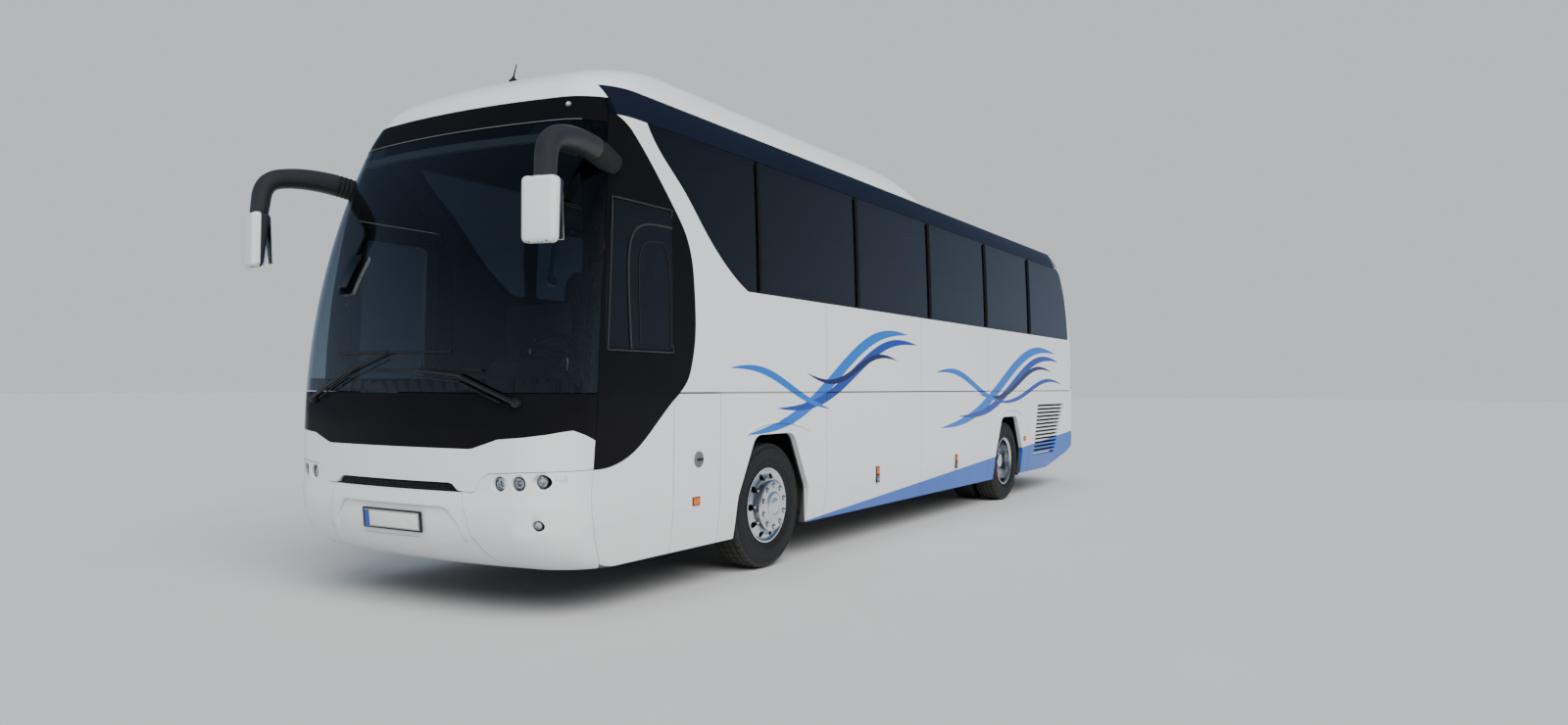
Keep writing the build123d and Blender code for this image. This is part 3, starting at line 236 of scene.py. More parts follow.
def make_ribbon_group():
    """A ribbon runs from a start to an end, rises, bulges and waves, and tapers to a point at both ends."""
    floats = (
        ("Along", 0.0), ("Height", 0.0), ("Start", 0.0), ("End", 1.0), ("Low", 0.0), ("High", 0.0),
        ("Bulge", 0.0), ("Wave", 0.0), ("Width", 0.1), ("Edge", 0.0015),
    )
    group, entry, ending = start_group(
        "ribbon", [(label, "NodeSocketFloat", value) for label, value in floats], ("Mask",)
    )
    run = calc(group, "SUBTRACT", entry["End"], entry["Start"])
    part = calc(group, "DIVIDE", calc(group, "SUBTRACT", entry["Along"], entry["Start"]), run, clamp=True)
    rise = calc(group, "MULTIPLY", calc(group, "SUBTRACT", entry["High"], entry["Low"]), part)
    arch = calc(group, "SINE", calc(group, "MULTIPLY", part, math.pi))
    swing = calc(group, "SINE", calc(group, "MULTIPLY", part, math.tau))
    middle = calc(group, "ADD", entry["Low"], rise)
    middle = calc(group, "MULTIPLY_ADD", arch, entry["Bulge"], middle)
    middle = calc(group, "MULTIPLY_ADD", swing, entry["Wave"], middle)
    away = calc(group, "ABSOLUTE", calc(group, "SUBTRACT", entry["Height"], middle))
    taper = calc(group, "POWER", arch, 0.8)
    half = calc(group, "MULTIPLY", calc(group, "MULTIPLY", entry["Width"], 0.5), taper)
    mask = calc(group, "DIVIDE", calc(group, "SUBTRACT", half, away), entry["Edge"], clamp=True)
    group.links.new(mask, ending["Mask"])
    return group


def make_spray_group():
    """Sprayed paint has a soft ripple of a few millimetres over longer, flatter waves."""
    group, entry, ending = start_group("spray_ripple", (("Vector", "NodeSocketVector", None),), ("Height",))
    ripple = noise(group, entry["Vector"], 160.0, 1.0)
    wave = noise(group, entry["Vector"], 3.0, 1.0)
    height = calc(group, "MULTIPLY_ADD", wave, 3.0, ripple)
    group.links.new(height, ending["Height"])
    return group


GROUPS = {
    "dust": make_dust_group(),
    "line": make_line_group(),
    "ribbon": make_ribbon_group(),
    "spray": make_spray_group(),
}


def use_group(tree, name, output, **values):
    """Places a shared group in a material, sets or links its inputs and gives one output."""
    made = add_node(tree, "ShaderNodeGroup", node_tree=GROUPS[name])
    for label, value in values.items():
        feed(tree, made.inputs[label.replace("_", " ")], value)
    return made.outputs[output]


print("groups:", ", ".join(sorted(group.name for group in GROUPS.values())))

# %% [markdown]
# The body is white two-coat paint: a slightly warm white under clear lacquer, so the shader has a coat.
# The livery is painted, not stuck on: a blue band along the sill that rises to the rear, and two fans of
# tapered ribbons in three blues. Each ribbon is one use of the ribbon group with its own numbers.
# Fine dark lines stand for the joins between fixed side panels, where there is no gap in the sheet metal; the
# wider dark line along the seam over the flaps is partly such a join and partly painted shadow along the seam.

# %% Body paint
WHITE = (0.8, 0.815, 0.82, 1)
SHADED_WHITE = (0.76, 0.78, 0.79, 1)
DUST_COLOUR = (0.36, 0.32, 0.26, 1)
# Dark colour of the panel join lines, and of the painted shadow along the side seam.
JOINT_AND_SHADE_COLOUR = (0.05, 0.05, 0.055, 1)
LINING_COLOUR = (0.055, 0.056, 0.058, 1)
BAND_BLUE = (0.01, 0.11, 0.5, 1)
SKY_BLUE = (0.006, 0.15, 0.58, 1)
MID_BLUE = (0.004, 0.048, 0.32, 1)
DEEP_BLUE = (0.004, 0.006, 0.075, 1)
# Each ribbon: start and end behind the nose, height at each, bulge, wave, width and colour.
RIBBONS = (
    (2.3, 5.45, 1.1, 2.02, 0.05, -0.13, 0.13, SKY_BLUE),
    (2.75, 5.7, 1.3, 1.92, 0.02, -0.12, 0.105, MID_BLUE),
    (3.25, 5.2, 1.6, 1.74, -0.03, -0.09, 0.06, DEEP_BLUE),
    (2.05, 3.7, 1.62, 1.28, 0.06, 0.04, 0.07, SKY_BLUE),
    (6.35, 10.95, 1.02, 1.98, 0.1, -0.16, 0.15, SKY_BLUE),
    (6.9, 11.15, 1.14, 1.86, 0.05, -0.15, 0.12, MID_BLUE),
    (7.6, 10.8, 1.4, 1.7, 0.0, -0.12, 0.075, DEEP_BLUE),
    (6.2, 8.4, 1.64, 1.3, 0.08, 0.05, 0.08, SKY_BLUE),
    (8.2, 11.35, 1.3, 1.52, 0.05, -0.08, 0.07, MID_BLUE),
)
SILL_BAND = (3.62, 0.34, 0.0562)
SEAM_HEIGHT = 1.43
LEAN_START = 1.3
LEAN_RADIUS = 37.0
LINING_DEPTH = 0.045
SIDE_JOINTS = (3.63, 5.8, 7.97)


def start_paint(name, coat, gloss):
    """Starts a lacquered paint."""
    return start_material(name, Coat_Weight=coat, Coat_Roughness=0.04, Specular_IOR_Level=gloss)


def white_base(tree, place):
    """Starts a white paint's colour. Gives it, X, Z, the distance behind the nose and the sill band's mask."""
    x, y, z = axes_of(tree, place)
    along = calc(tree, "SUBTRACT", y, NOSE_Y)
    colour = mix_colour(tree, noise(tree, place, 0.7, 2.0), WHITE, SHADED_WHITE)
    start, height, slope = SILL_BAND
    edge = calc(tree, "MULTIPLY_ADD", calc(tree, "SUBTRACT", along, start), slope, height)
    band = calc(tree, "DIVIDE", calc(tree, "SUBTRACT", edge, z), 0.002, clamp=True)
    return colour, x, z, along, band


def finish_paint(tree, shader, place, colour, joints, dust_top, dust_amount):
    """Lays road dust over a paint's colour, darkens its join lines, which on the side include a painted shadow
    along the seam, and puts ripple and those lines into its surface.
    """
    dust = use_group(tree, "dust", "Mask", Vector=place, Top=dust_top, Amount=dust_amount)
    # This darkens the join lines, and on the side it also paints the shadow along the seam.
    colour = mix_colour(tree, calc(tree, "MULTIPLY", joints, 0.9), colour, JOINT_AND_SHADE_COLOUR)
    rough = mix_value(tree, noise(tree, place, 1.3, 4.0), 0.26, 0.4)
    rough = calc(tree, "MULTIPLY_ADD", dust, 0.5, rough, clamp=True)
    height = calc(tree, "MULTIPLY_ADD", joints, -12.0, use_group(tree, "spray", "Height", Vector=place))
    finish_shader(tree, shader, mix_colour(tree, dust, colour, DUST_COLOUR), rough, height, 0.5, 0.00035)


def lining_mask(tree, x, z):
    """The side walls are solid panels, and what lies deeper than their outer half is lined in grey cloth."""
    rise = calc(tree, "MAXIMUM", calc(tree, "SUBTRACT", z, LEAN_START), 0.0)
    lean = calc(tree, "DIVIDE", calc(tree, "MULTIPLY", rise, rise), 2 * LEAN_RADIUS)
    depth = calc(tree, "SUBTRACT", calc(tree, "SUBTRACT", HALF_WIDTH, lean), calc(tree, "ABSOLUTE", x))
    return calc(tree, "GREATER_THAN", depth, LINING_DEPTH)


def make_side_paint():
    """White side paint with the sill band, the ribbons, the panel join lines and a painted shadow along the
    seam.
    """
    material, tree, shader, place = start_paint("side_paint", 0.15, 0.3)
    colour, x, z, along, band = white_base(tree, place)
    colour = mix_colour(tree, band, colour, BAND_BLUE)
    for start, end, low, high, bulge, wave, width, blue in RIBBONS:
        mask = use_group(
            tree, "ribbon", "Mask", Along=along, Height=z, Start=start, End=end, Low=low, High=high,
            Bulge=bulge, Wave=wave, Width=width,
        )
        colour = mix_colour(tree, mask, colour, blue)
    # The seam line is wider than a join: it is the join plus a painted shadow along the seam.
    joints = use_group(tree, "line", "Mask", Value=z, Place=SEAM_HEIGHT, Width=0.011)
    above = calc(tree, "GREATER_THAN", z, SEAM_HEIGHT)
    for joint in SIDE_JOINTS:
        line = use_group(tree, "line", "Mask", Value=along, Place=joint, Width=0.004)
        joints = calc(tree, "MAXIMUM", joints, calc(tree, "MULTIPLY", line, above))
    colour = mix_colour(tree, lining_mask(tree, x, z), colour, LINING_COLOUR)
    finish_paint(tree, shader, place, colour, joints, 1.5, 0.22)
    return material


def make_white_paint():
    """White paint of the front, the roof and the rear, with a blue lower edge at the tail."""
    material, tree, shader, place = start_paint("white_paint", 0.15, 0.3)
    colour, _, _, along, band = white_base(tree, place)
    behind = calc(tree, "GREATER_THAN", along, SILL_BAND[0])
    colour = mix_colour(tree, calc(tree, "MULTIPLY", band, behind), colour, BAND_BLUE)
    finish_paint(tree, shader, place, colour, 0.0, 1.2, 0.2)
    return material


def make_dark_paint(name, colour, high_colour):
    """Dark lacquer, a little dusty, that goes towards a second colour in soft clouds."""
    material, tree, shader, place = start_paint(name, 0.05, 0.03)
    shade = noise(tree, place, 1.2, 3.0)
    dust = use_group(tree, "dust", "Mask", Vector=place, Top=4.5, Amount=0.02)
    mixed = mix_colour(tree, dust, mix_colour(tree, shade, colour, high_colour), DUST_COLOUR)
    ripple = use_group(tree, "spray", "Height", Vector=place)
    finish_shader(tree, shader, mixed, mix_value(tree, shade, 0.1, 0.2), ripple, 0.35, 0.0003)
    return material


side_paint = make_side_paint()
white_paint = make_white_paint()
black_paint = make_dark_paint("black_paint", (0.004, 0.004, 0.005, 1), (0.007, 0.007, 0.009, 1))
cove_paint = make_dark_paint("cove_paint", (0.006, 0.009, 0.019, 1), (0.009, 0.013, 0.024, 1))
print("side paint has", len(RIBBONS), "ribbons")

# %% [markdown]
# Glass is real glass here: each pane is a solid of its own, so light bends at both of its faces.
# The side windows are dyed dark, the windscreen almost clear, and lamp covers quite clear.

# %% Glass


def make_glass(name, colour, streaks):
    """Glass of one dye, with faint streaks of dust in its gloss."""
    material, tree, shader, place = start_material(name, Transmission_Weight=1.0, IOR=1.45)
    shade = noise(tree, place, 2.5, 4.0)
    lighter = tuple(min(1.0, part * 1.12) for part in colour[:3]) + (1,)
    finish_shader(tree, shader, mix_colour(tree, shade, colour, lighter), mix_value(tree, shade, 0.0, streaks))
    return material


side_glass = make_glass("side_glass", (0.055, 0.062, 0.07, 1), 0.03)
screen_glass = make_glass("screen_glass", (0.42, 0.47, 0.47, 1), 0.015)
lamp_glass = make_glass("lamp_glass", (0.93, 0.95, 0.96, 1), 0.02)
print("glass:", side_glass.name, screen_glass.name, lamp_glass.name)

# %% [markdown]
# Wheels are polished aluminium. Turning leaves fine rings around the axle, so that pattern is drawn on the
# distance from the hub, which two coordinates give. Tyres use the same distance for the ribs of their
# sidewalls, and to keep most of their dust on the tread.

# %% Wheel materials


def hub_distance(tree, place, hub):
    """Gives the distance from a wheel's axle line."""
    _, y, z = axes_of(tree, place)
    across = calc(tree, "SUBTRACT", y, hub.y)
    up = calc(tree, "SUBTRACT", z, hub.z)
    total = calc(tree, "ADD", calc(tree, "MULTIPLY", across, across), calc(tree, "MULTIPLY", up, up))
    return calc(tree, "SQRT", total)


def make_wheel_metal(name, hub):
    """Turned and polished aluminium with brake dust in scattered spots."""
    material, tree, shader, place = start_material(name, Metallic=1.0)
    rings = calc(tree, "SINE", calc(tree, "MULTIPLY", hub_distance(tree, place, hub), 2600.0))
    grime = noise(tree, place, 9.0, 5.0, 0.65)
    spots = calc(tree, "MULTIPLY", calc(tree, "SUBTRACT", grime, 0.45), 3.0, clamp=True)
    colour = mix_colour(tree, calc(tree, "MULTIPLY", spots, 0.5), (0.8, 0.81, 0.82, 1), (0.42, 0.4, 0.37, 1))
    finish_shader(tree, shader, colour, mix_value(tree, spots, 0.12, 0.38), rings, 0.15, 0.0002)
    return material


def make_tyre_rubber(name, hub):
    """Black rubber with fine sidewall ribs and pale road dust on the tread."""
    material, tree, shader, place = start_material(name)
    radius = hub_distance(tree, place, hub)
    ribs = calc(tree, "SINE", calc(tree, "MULTIPLY", radius, 900.0))
    side = calc(tree, "LESS_THAN", radius, 0.485)
    dirt = noise(tree, place, 14.0, 4.0, 0.6)
    dirty = calc(tree, "MULTIPLY", dirt, mix_value(tree, side, 0.65, 0.16))
    colour = mix_colour(tree, dirty, (0.007, 0.007, 0.008, 1), (0.085, 0.078, 0.068, 1))
    grain = noise(tree, place, 400.0, 2.0)
    height = calc(tree, "MULTIPLY_ADD", calc(tree, "MULTIPLY", ribs, side), 0.5, grain)
    finish_shader(tree, shader, colour, mix_value(tree, dirt, 0.55, 0.85), height, 0.4, 0.0006)
    return material


wheel_metal = {axle: make_wheel_metal(f"{axle}_wheel_metal", hub) for axle, hub in HUB.items()}
tyre_rubber = {axle: make_tyre_rubber(f"{axle}_tyre_rubber", hub) for axle, hub in HUB.items()}
print("wheel materials for", ", ".join(HUB))

# %% [markdown]
# The rest are plain workshop finishes: moulded plastic with a fine grain, painted steel of the chassis,
# cast iron, chrome, rubber, lenses, cloth and floor covering. One recipe makes most of them, with a
# colour, a gloss, a grain size and a grain depth, because real ones differ in just those four ways.

# %% Other finishes


def make_finish(name, colour, rough, grain, depth, metal=0.0, dust_top=None, dust=0.4, vary=0.75):
    """A surface of one base colour, clouded a little, with a grain and perhaps dust below a height."""
    material, tree, shader, place = start_material(name, Metallic=metal)
    shade = noise(tree, place, 5.0, 4.0, 0.6)
    darker = tuple(part * vary for part in colour[:3]) + (1,)
    mixed = mix_colour(tree, shade, darker, colour)
    if dust_top:
        mask = use_group(tree, "dust", "Mask", Vector=place, Top=dust_top, Amount=dust)
        mixed = mix_colour(tree, mask, mixed, DUST_COLOUR)
    rough = mix_value(tree, shade, rough * 0.8, min(1.0, rough * 1.25))
    finish_shader(tree, shader, mixed, rough, noise(tree, place, grain, 2.0), 0.5, depth)
    return material


black_plastic = make_finish("black_plastic", (0.01, 0.01, 0.011, 1), 0.5, 700.0, 0.0004)
grey_plastic = make_finish("grey_plastic", (0.16, 0.165, 0.17, 1), 0.5, 600.0, 0.0004)
rubber = make_finish("rubber", (0.016, 0.016, 0.016, 1), 0.7, 300.0, 0.0003)
grey_rubber = make_finish("grey_rubber", (0.03, 0.03, 0.032, 1), 0.45, 400.0, 0.0003)
chrome = make_finish("chrome", (0.84, 0.85, 0.86, 1), 0.06, 60.0, 0.0001, metal=1.0, vary=0.92)
chassis_steel = make_finish("chassis_steel", (0.035, 0.036, 0.038, 1), 0.55, 90.0, 0.0008, 0.3, 1.0, 0.8)
cast_iron = make_finish("cast_iron", (0.07, 0.068, 0.065, 1), 0.7, 220.0, 0.0012, 0.6, 1.2, 0.6)
cooler_metal = make_finish("cooler_metal", (0.1, 0.1, 0.105, 1), 0.5, 180.0, 0.0008, 0.7, 1.5, 0.6)
arch_plastic = make_finish("arch_plastic", (0.022, 0.022, 0.022, 1), 0.7, 150.0, 0.001, 0.0, 1.3, 0.7)
floor_vinyl = make_finish("floor_vinyl", (0.1, 0.1, 0.105, 1), 0.45, 260.0, 0.0004)
dash_plastic = make_finish("dash_plastic", (0.035, 0.035, 0.037, 1), 0.6, 500.0, 0.0005)
hatch_plastic = make_finish("hatch_plastic", (0.72, 0.73, 0.73, 1), 0.35, 120.0, 0.0003, vary=0.93)
mirror_silver = make_finish("mirror_silver", (0.9, 0.91, 0.92, 1), 0.03, 10.0, 0.00002, 1.0, vary=0.97)
blind_cloth = make_finish("blind_cloth", (0.46, 0.48, 0.48, 1), 0.85, 500.0, 0.0004, vary=0.9)
ceiling_cloth = make_finish("ceiling_cloth", (0.4, 0.4, 0.39, 1), 0.9, 420.0, 0.0006, vary=0.9)
plate_white = make_finish("plate_white", (0.78, 0.79, 0.78, 1), 0.35, 200.0, 0.0001, vary=0.95)
plate_blue = make_finish("plate_blue", (0.02, 0.07, 0.42, 1), 0.35, 200.0, 0.0001, vary=0.9)
amber_lens = make_finish("amber_lens", (0.8, 0.15, 0.004, 1), 0.12, 240.0, 0.0008, vary=0.85)
red_lens = make_finish("red_lens", (0.55, 0.008, 0.008, 1), 0.12, 240.0, 0.0008, vary=0.8)
clear_lens = make_finish("clear_lens", (0.72, 0.74, 0.75, 1), 0.12, 240.0, 0.0008, vary=0.9)
print(len(bpy.data.materials), "materials so far")

# %% [markdown]
# A tail lamp is one moulding with three fields: orange on top for turning, a clear one for backing, and red
# below. Fine ribs cross it, as they do on real lenses.

# %% Tail lamp lens
LENS_FIELDS = ((1.395, (0.72, 0.74, 0.75, 1)), (1.5, (0.8, 0.15, 0.004, 1)))


def make_banded_lens():
    """A ribbed lens in red with a clear field and an orange one above it."""
    material, tree, shader, place = start_material("banded_lens", Coat_Weight=0.6)
    z = axes_of(tree, place)[2]
    shade = noise(tree, place, 30.0, 3.0)
    colour = mix_colour(tree, shade, (0.5, 0.006, 0.006, 1), (0.62, 0.012, 0.01, 1))
    for start, field in LENS_FIELDS:
        colour = mix_colour(tree, calc(tree, "GREATER_THAN", z, start), colour, field)
    ribs = calc(tree, "SINE", calc(tree, "MULTIPLY", z, 700.0))
    finish_shader(tree, shader, colour, mix_value(tree, shade, 0.08, 0.2), ribs, 0.5, 0.0012)
    return material


banded_lens = make_banded_lens()
print("lens fields start at", [start for start, field in LENS_FIELDS])

# %% [markdown]
# Coach seats are covered in moquette, a short-pile weave. A checker of threads gives its bump, its sheen is
# the shader's own, and small lighter flecks break up the blue as the real cloth does.

# %% Seat cloth


def make_seat_cloth():
    """Blue moquette with a woven bump and paler flecks."""
    material, tree, shader, place = start_material("seat_cloth", Sheen_Weight=0.4)
    threads = add_node(tree, "ShaderNodeTexChecker")
    threads.inputs["Scale"].default_value = 320.0
    tree.links.new(place, threads.inputs["Vector"])
    flecks = noise(tree, place, 60.0, 2.0)
    spots = calc(tree, "MULTIPLY", calc(tree, "SUBTRACT", flecks, 0.58), 9.0, clamp=True)
    colour = mix_colour(tree, spots, (0.022, 0.032, 0.085, 1), (0.2, 0.24, 0.38, 1))
    finish_shader(tree, shader, colour, 0.9, threads.outputs["Fac"], 0.5, 0.0006)
    return material


seat_cloth = make_seat_cloth()
print("seat cloth ready")

# %% [markdown]
# Every CAD part keeps its shape and takes a finish. Its mesh is loose triangles, so a Weld modifier joins
# them, smooth shading hides the facets and an Edge Split keeps the real edges sharp.

# %% Dress the CAD parts
FINISHES = {
    side_paint: (
        "left_side_wall", "right_side_wall", "left_front_luggage_flap", "left_rear_luggage_flap",
        "right_luggage_flap", "left_service_flap", "radiator_flap", "front_door", "middle_door",
    ),
    white_paint: (
        "front_panel", "front_bumper", "front_flap", "roof_shell", "roof_fairing", "rear_wall", "rear_bumper",
        "engine_cover",
    ),
    black_paint: ("front_corner_panels", "front_mask", "visor", "window_frames"),
    cove_paint: ("cove_bands",),
    side_glass: ("window_glass", "front_door_glass", "middle_door_glass"),
    screen_glass: ("windscreen",),
    hatch_plastic: ("front_roof_hatch", "rear_roof_hatch"),
    lamp_glass: ("front_lamps",),
    banded_lens: ("tail_lamps",),
    chassis_steel: (
        "chassis_frame", "front_axle_beam", "rear_axle", "left_knuckle", "right_knuckle", "front_door_arm",
        "middle_door_arm",
    ),
    cast_iron: ("engine_block",),
    cooler_metal: ("radiator",),
    arch_plastic: ("wheel_arches",),
    floor_vinyl: ("cabin_floor", "front_stairwell", "middle_stairwell"),
    dash_plastic: ("dashboard",),
    black_plastic: ("steering_wheel", "wipers", "mirrors"),
    seat_cloth: ("driver_seat", "left_seats", "right_seats"),
    wheel_metal["front"]: ("front_left_rim", "front_right_rim"),
    wheel_metal["rear"]: ("rear_left_rims", "rear_right_rims"),
    tyre_rubber["front"]: ("front_left_tyre", "front_right_tyre"),
    tyre_rubber["rear"]: ("rear_left_tyres", "rear_right_tyres"),
}
SHARP_ANGLE = math.radians(28)


def dress(name, material):
    """Gives a CAD part its finish and smooth shading between its real edges."""
    part = NODES[name]
    part.data.materials.clear()
    part.data.materials.append(material)
    part.data.polygons.foreach_set("use_smooth", [True] * len(part.data.polygons))
    weld = part.modifiers.new("weld", "WELD")
    weld.merge_threshold = 0.00002
    split = part.modifiers.new("edges", "EDGE_SPLIT")
    split.split_angle = SHARP_ANGLE


for material, names in FINISHES.items():
    for name in names:
        dress(name, material)
dressed = {name for names in FINISHES.values() for name in names}
print("dressed", len(dressed), "of", len(NODES), "parts; left:", sorted(set(NODES) - dressed))

# %% [markdown]
# The added pieces are small meshes made by operators. A part starts as a cube, a circle or a few vertices in a
# bmesh of its own, is shaped there, and is then copied into the piece at each place where it is needed.
# That keeps every part closed and simple, and a ring of ten nuts is one nut and ten places.

# %% Part helpers
UPWARD = Vector((0, 0, 1))
REST_PLACE = Matrix.Identity(4)
MERGE_GAP = 0.00005


def finish_piece(name, bm, materials, body, replaced=(), sharp=38.0):
    """Makes an object of a bmesh, shades it smooth between its sharp edges and sets what it rides on."""
    mesh = bpy.data.meshes.new(name)
    bm.to_mesh(mesh)
    bm.free()
    for material in materials:
        mesh.materials.append(material)
    mesh.polygons.foreach_set("use_smooth", [True] * len(mesh.polygons))
    mesh.set_sharp_from_angle(angle=math.radians(sharp))
    piece = bpy.data.objects.new(name, mesh)
    bpy.context.scene.collection.objects.link(piece)
    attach(piece, body)
    if replaced:
        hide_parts(*replaced)
    return piece


def at(x, y, z):
    """A place moved by X, Y and Z."""
    return Matrix.Translation((x, y, z))


def tilt(degrees, axis):
    """A place turned by degrees about an axis."""
    return Matrix.Rotation(math.radians(degrees), 4, axis)


def add_part(bm, part, places=(REST_PLACE,), finish=0):
    """Copies a part into a piece at each place, with one of the piece's materials, and frees it."""
    for face in part.faces:
        face.material_index = finish
    mesh = bpy.data.meshes.new("part")
    for place in places:
        copy = part.copy()
        copy.transform(place)
        if place.determinant() < 0:
            bmesh.ops.reverse_faces(copy, faces=copy.faces)
        copy.to_mesh(mesh)
        bm.from_mesh(mesh)
        copy.free()
    bpy.data.meshes.remove(mesh)
    part.free()


def soften(part, offset, segments=2, edges=None):
    """Rounds a part's edges, all of them or those given."""
    bmesh.ops.bevel(
        part, geom=list(edges or part.edges), offset=offset, offset_type="OFFSET", segments=segments,
        profile=0.5, affect="EDGES", material=-1,
    )
    return part


def block(size, bevel=0.003, segments=2):
    """A block around the origin with rounded edges."""
    part = bmesh.new()
    bmesh.ops.create_cube(part, size=1.0, matrix=Matrix.Diagonal((*size, 1.0)))
    return soften(part, bevel, segments)


def turned(profile, steps=48):
    """Turns a line of radius and height about Z. It is closed where it starts and ends on the axis."""
    part = bmesh.new()
    line = [part.verts.new((radius, 0.0, height)) for radius, height in profile]
    for before, after in zip(line, line[1:]):
        part.edges.new((before, after))
    bmesh.ops.spin(
        part, geom=part.verts[:] + part.edges[:], cent=(0, 0, 0), axis=(0, 0, 1), angle=math.tau,
        steps=steps, use_merge=True,
    )
    bmesh.ops.remove_doubles(part, verts=part.verts, dist=MERGE_GAP)
    bmesh.ops.recalc_face_normals(part, faces=part.faces)
    return part


def sheet_plate(outline, thickness, bevel=0.0):
    """Raises a flat outline in X and Y to a plate, with its back at Z 0."""
    part = bmesh.new()
    face = part.faces.new([part.verts.new((x, y, 0.0)) for x, y in outline])
    raised = bmesh.ops.extrude_face_region(part, geom=[face])["geom"]
    top = [item for item in raised if isinstance(item, bmesh.types.BMVert)]
    bmesh.ops.translate(part, vec=(0, 0, thickness), verts=top)
    bmesh.ops.recalc_face_normals(part, faces=part.faces)
    if bevel:
        soften(part, bevel, 2, [edge for edge in part.edges if all(v.co.z > thickness / 2 for v in edge.verts)])
    return part


def path_places(points, radii):
    """Gives a place at each point of a path, with Z along the path, scaled by that point's two radii."""
    places = []
    turn = None
    for number, point in enumerate(points):
        ahead = points[min(number + 1, len(points) - 1)] - points[max(number - 1, 0)]
        ahead.normalize()
        if turn is None:
            turn = ahead.to_track_quat("Z", "Y")
        else:
            turn = (turn @ UPWARD).rotation_difference(ahead) @ turn
        scale = Matrix.Diagonal((*radii[number], 1.0, 1.0))
        places.append(Matrix.Translation(point) @ turn.to_matrix().to_4x4() @ scale)
    return places


def tube(points, radii, sides=12):
    """Draws a ring along a path. Its radius is a number or a pair, one for all points or a list of them."""
    points = [Vector(point) for point in points]
    if not isinstance(radii, list):
        radii = [radii] * len(points)
    radii = [radius if isinstance(radius, tuple) else (radius, radius) for radius in radii]
    part = bmesh.new()
    places = path_places(points, radii)
    bmesh.ops.create_circle(part, cap_ends=True, radius=1.0, segments=sides, matrix=places[0])
    edges = part.edges[:]
    for before, after in zip(places, places[1:]):
        made = bmesh.ops.extrude_edge_only(part, edges=edges)["geom"]
        verts = [item for item in made if isinstance(item, bmesh.types.BMVert)]
        fresh = set(verts)
        edges = [item for item in made if isinstance(item, bmesh.types.BMEdge) and set(item.verts) <= fresh]
        bmesh.ops.transform(part, matrix=after @ before.inverted(), verts=verts)
    bmesh.ops.contextual_create(part, geom=edges)
    bmesh.ops.recalc_face_normals(part, faces=part.faces)
    return part


def rounded_path(points, rounds=3):
    """Cuts a path's corners again and again until it is a smooth curve. Its ends stay."""
    points = [Vector(point) for point in points]
    for _ in range(rounds):
        cut = [points[0]]
        for before, after in zip(points, points[1:]):
            cut += [before.lerp(after, 0.25), before.lerp(after, 0.75)]
        points = cut + [points[-1]]
    return points


def place_on(point, normal, up=UPWARD):
    """A place on a surface: Z runs out of it and Y runs up along it."""
    across = up.cross(normal).normalized()
    return Matrix.Translation(point) @ Matrix((across, normal.cross(across), normal)).transposed().to_4x4()


print("part helpers ready")

# %% [markdown]
# Small fittings sit on the coach's skin. A ray is shot at the skin from outside, and where it lands gives the
# fitting's place and the way it faces. So nothing floats, and nothing sinks in, even on the bowed nose.

# %% Find the skin
LEFT_SKIN = (
    "left_side_wall", "left_front_luggage_flap", "left_rear_luggage_flap", "left_service_flap",
    "radiator_flap", "front_corner_panels", "window_glass", "front_bumper", "rear_wall",
)
RIGHT_SKIN = (
    "right_side_wall", "right_luggage_flap", "front_corner_panels", "window_glass", "front_bumper",
    "front_door", "front_door_glass", "middle_door", "middle_door_glass", "rear_wall",
)


def skin_of(*names):
    """Gathers CAD parts into one tree that rays can be shot at."""
    bm = bmesh.new()
    for name in names:
        bm.from_mesh(NODES[name].data)
    tree = BVHTree.FromBMesh(bm)
    bm.free()
    return tree


SKIN = {
    "front": skin_of("front_bumper", "front_panel", "front_flap", "front_mask", "windscreen", "visor"),
    "back": skin_of("rear_bumper", "rear_wall", "engine_cover", "window_glass"),
    "left": skin_of(*LEFT_SKIN),
    "right": skin_of(*RIGHT_SKIN),
}
AIM = {
    "front": Vector((0, 1, 0)), "back": Vector((0, -1, 0)),
    "left": Vector((-1, 0, 0)), "right": Vector((1, 0, 0)),
}


def land(face, point, lift=0.0):
    """Shoots a ray at a face of the coach through a point, and gives the place where it lands."""
    point = Vector(point)
    aim = AIM[face]
    hit, normal, _, _ = SKIN[face].ray_cast(point - aim * 20, aim)
    if hit is None:
        hit, normal, _, _ = SKIN[face].find_nearest(point)
    if normal.dot(aim) > 0:
        normal = -normal
    return place_on(hit + normal * lift, normal)


def on_front(x, z, lift=0.0):
    """The place on the coach's nose at an X and a height."""
    return land("front", (x, NOSE_Y, z), lift)


def on_back(x, z, lift=0.0):
    """The place on the coach's tail at an X and a height."""
    return land("back", (x, TAIL_Y, z), lift)


def on_side(side, along, z, lift=0.0):
    """The place on the coach's left (1) or right (-1) side, at a distance behind the nose and a height."""
    return land("left" if side > 0 else "right", (side * HALF_WIDTH, NOSE_Y + along, z), lift)


SIDE_NAMES = {1: "left", -1: "right"}
print("the nose at lamp height lands at", tuple(round(part, 3) for part in on_front(0.5, 0.7).translation))

# %% [markdown]
# A coach tyre is 1.02 m tall. Its section is turned about the axle in one spin: the bead, two raised rings on
# the sidewall, the rounded shoulder and a tread with four grooves. Then every other tread face is set in, as
# the cross slots of a real tread are. Twin rear tyres are one piece, because they turn together.

# %% Tyres
TYRE_RADIUS = 0.51
TREAD_EDGE = 0.117
TREAD_DROP = 0.0085
GROOVES = (0.08, 0.028, -0.028, -0.08)
GROOVE_HALF = 0.006
GROOVE_DEPTH = 0.012
TYRE_STEPS = 96
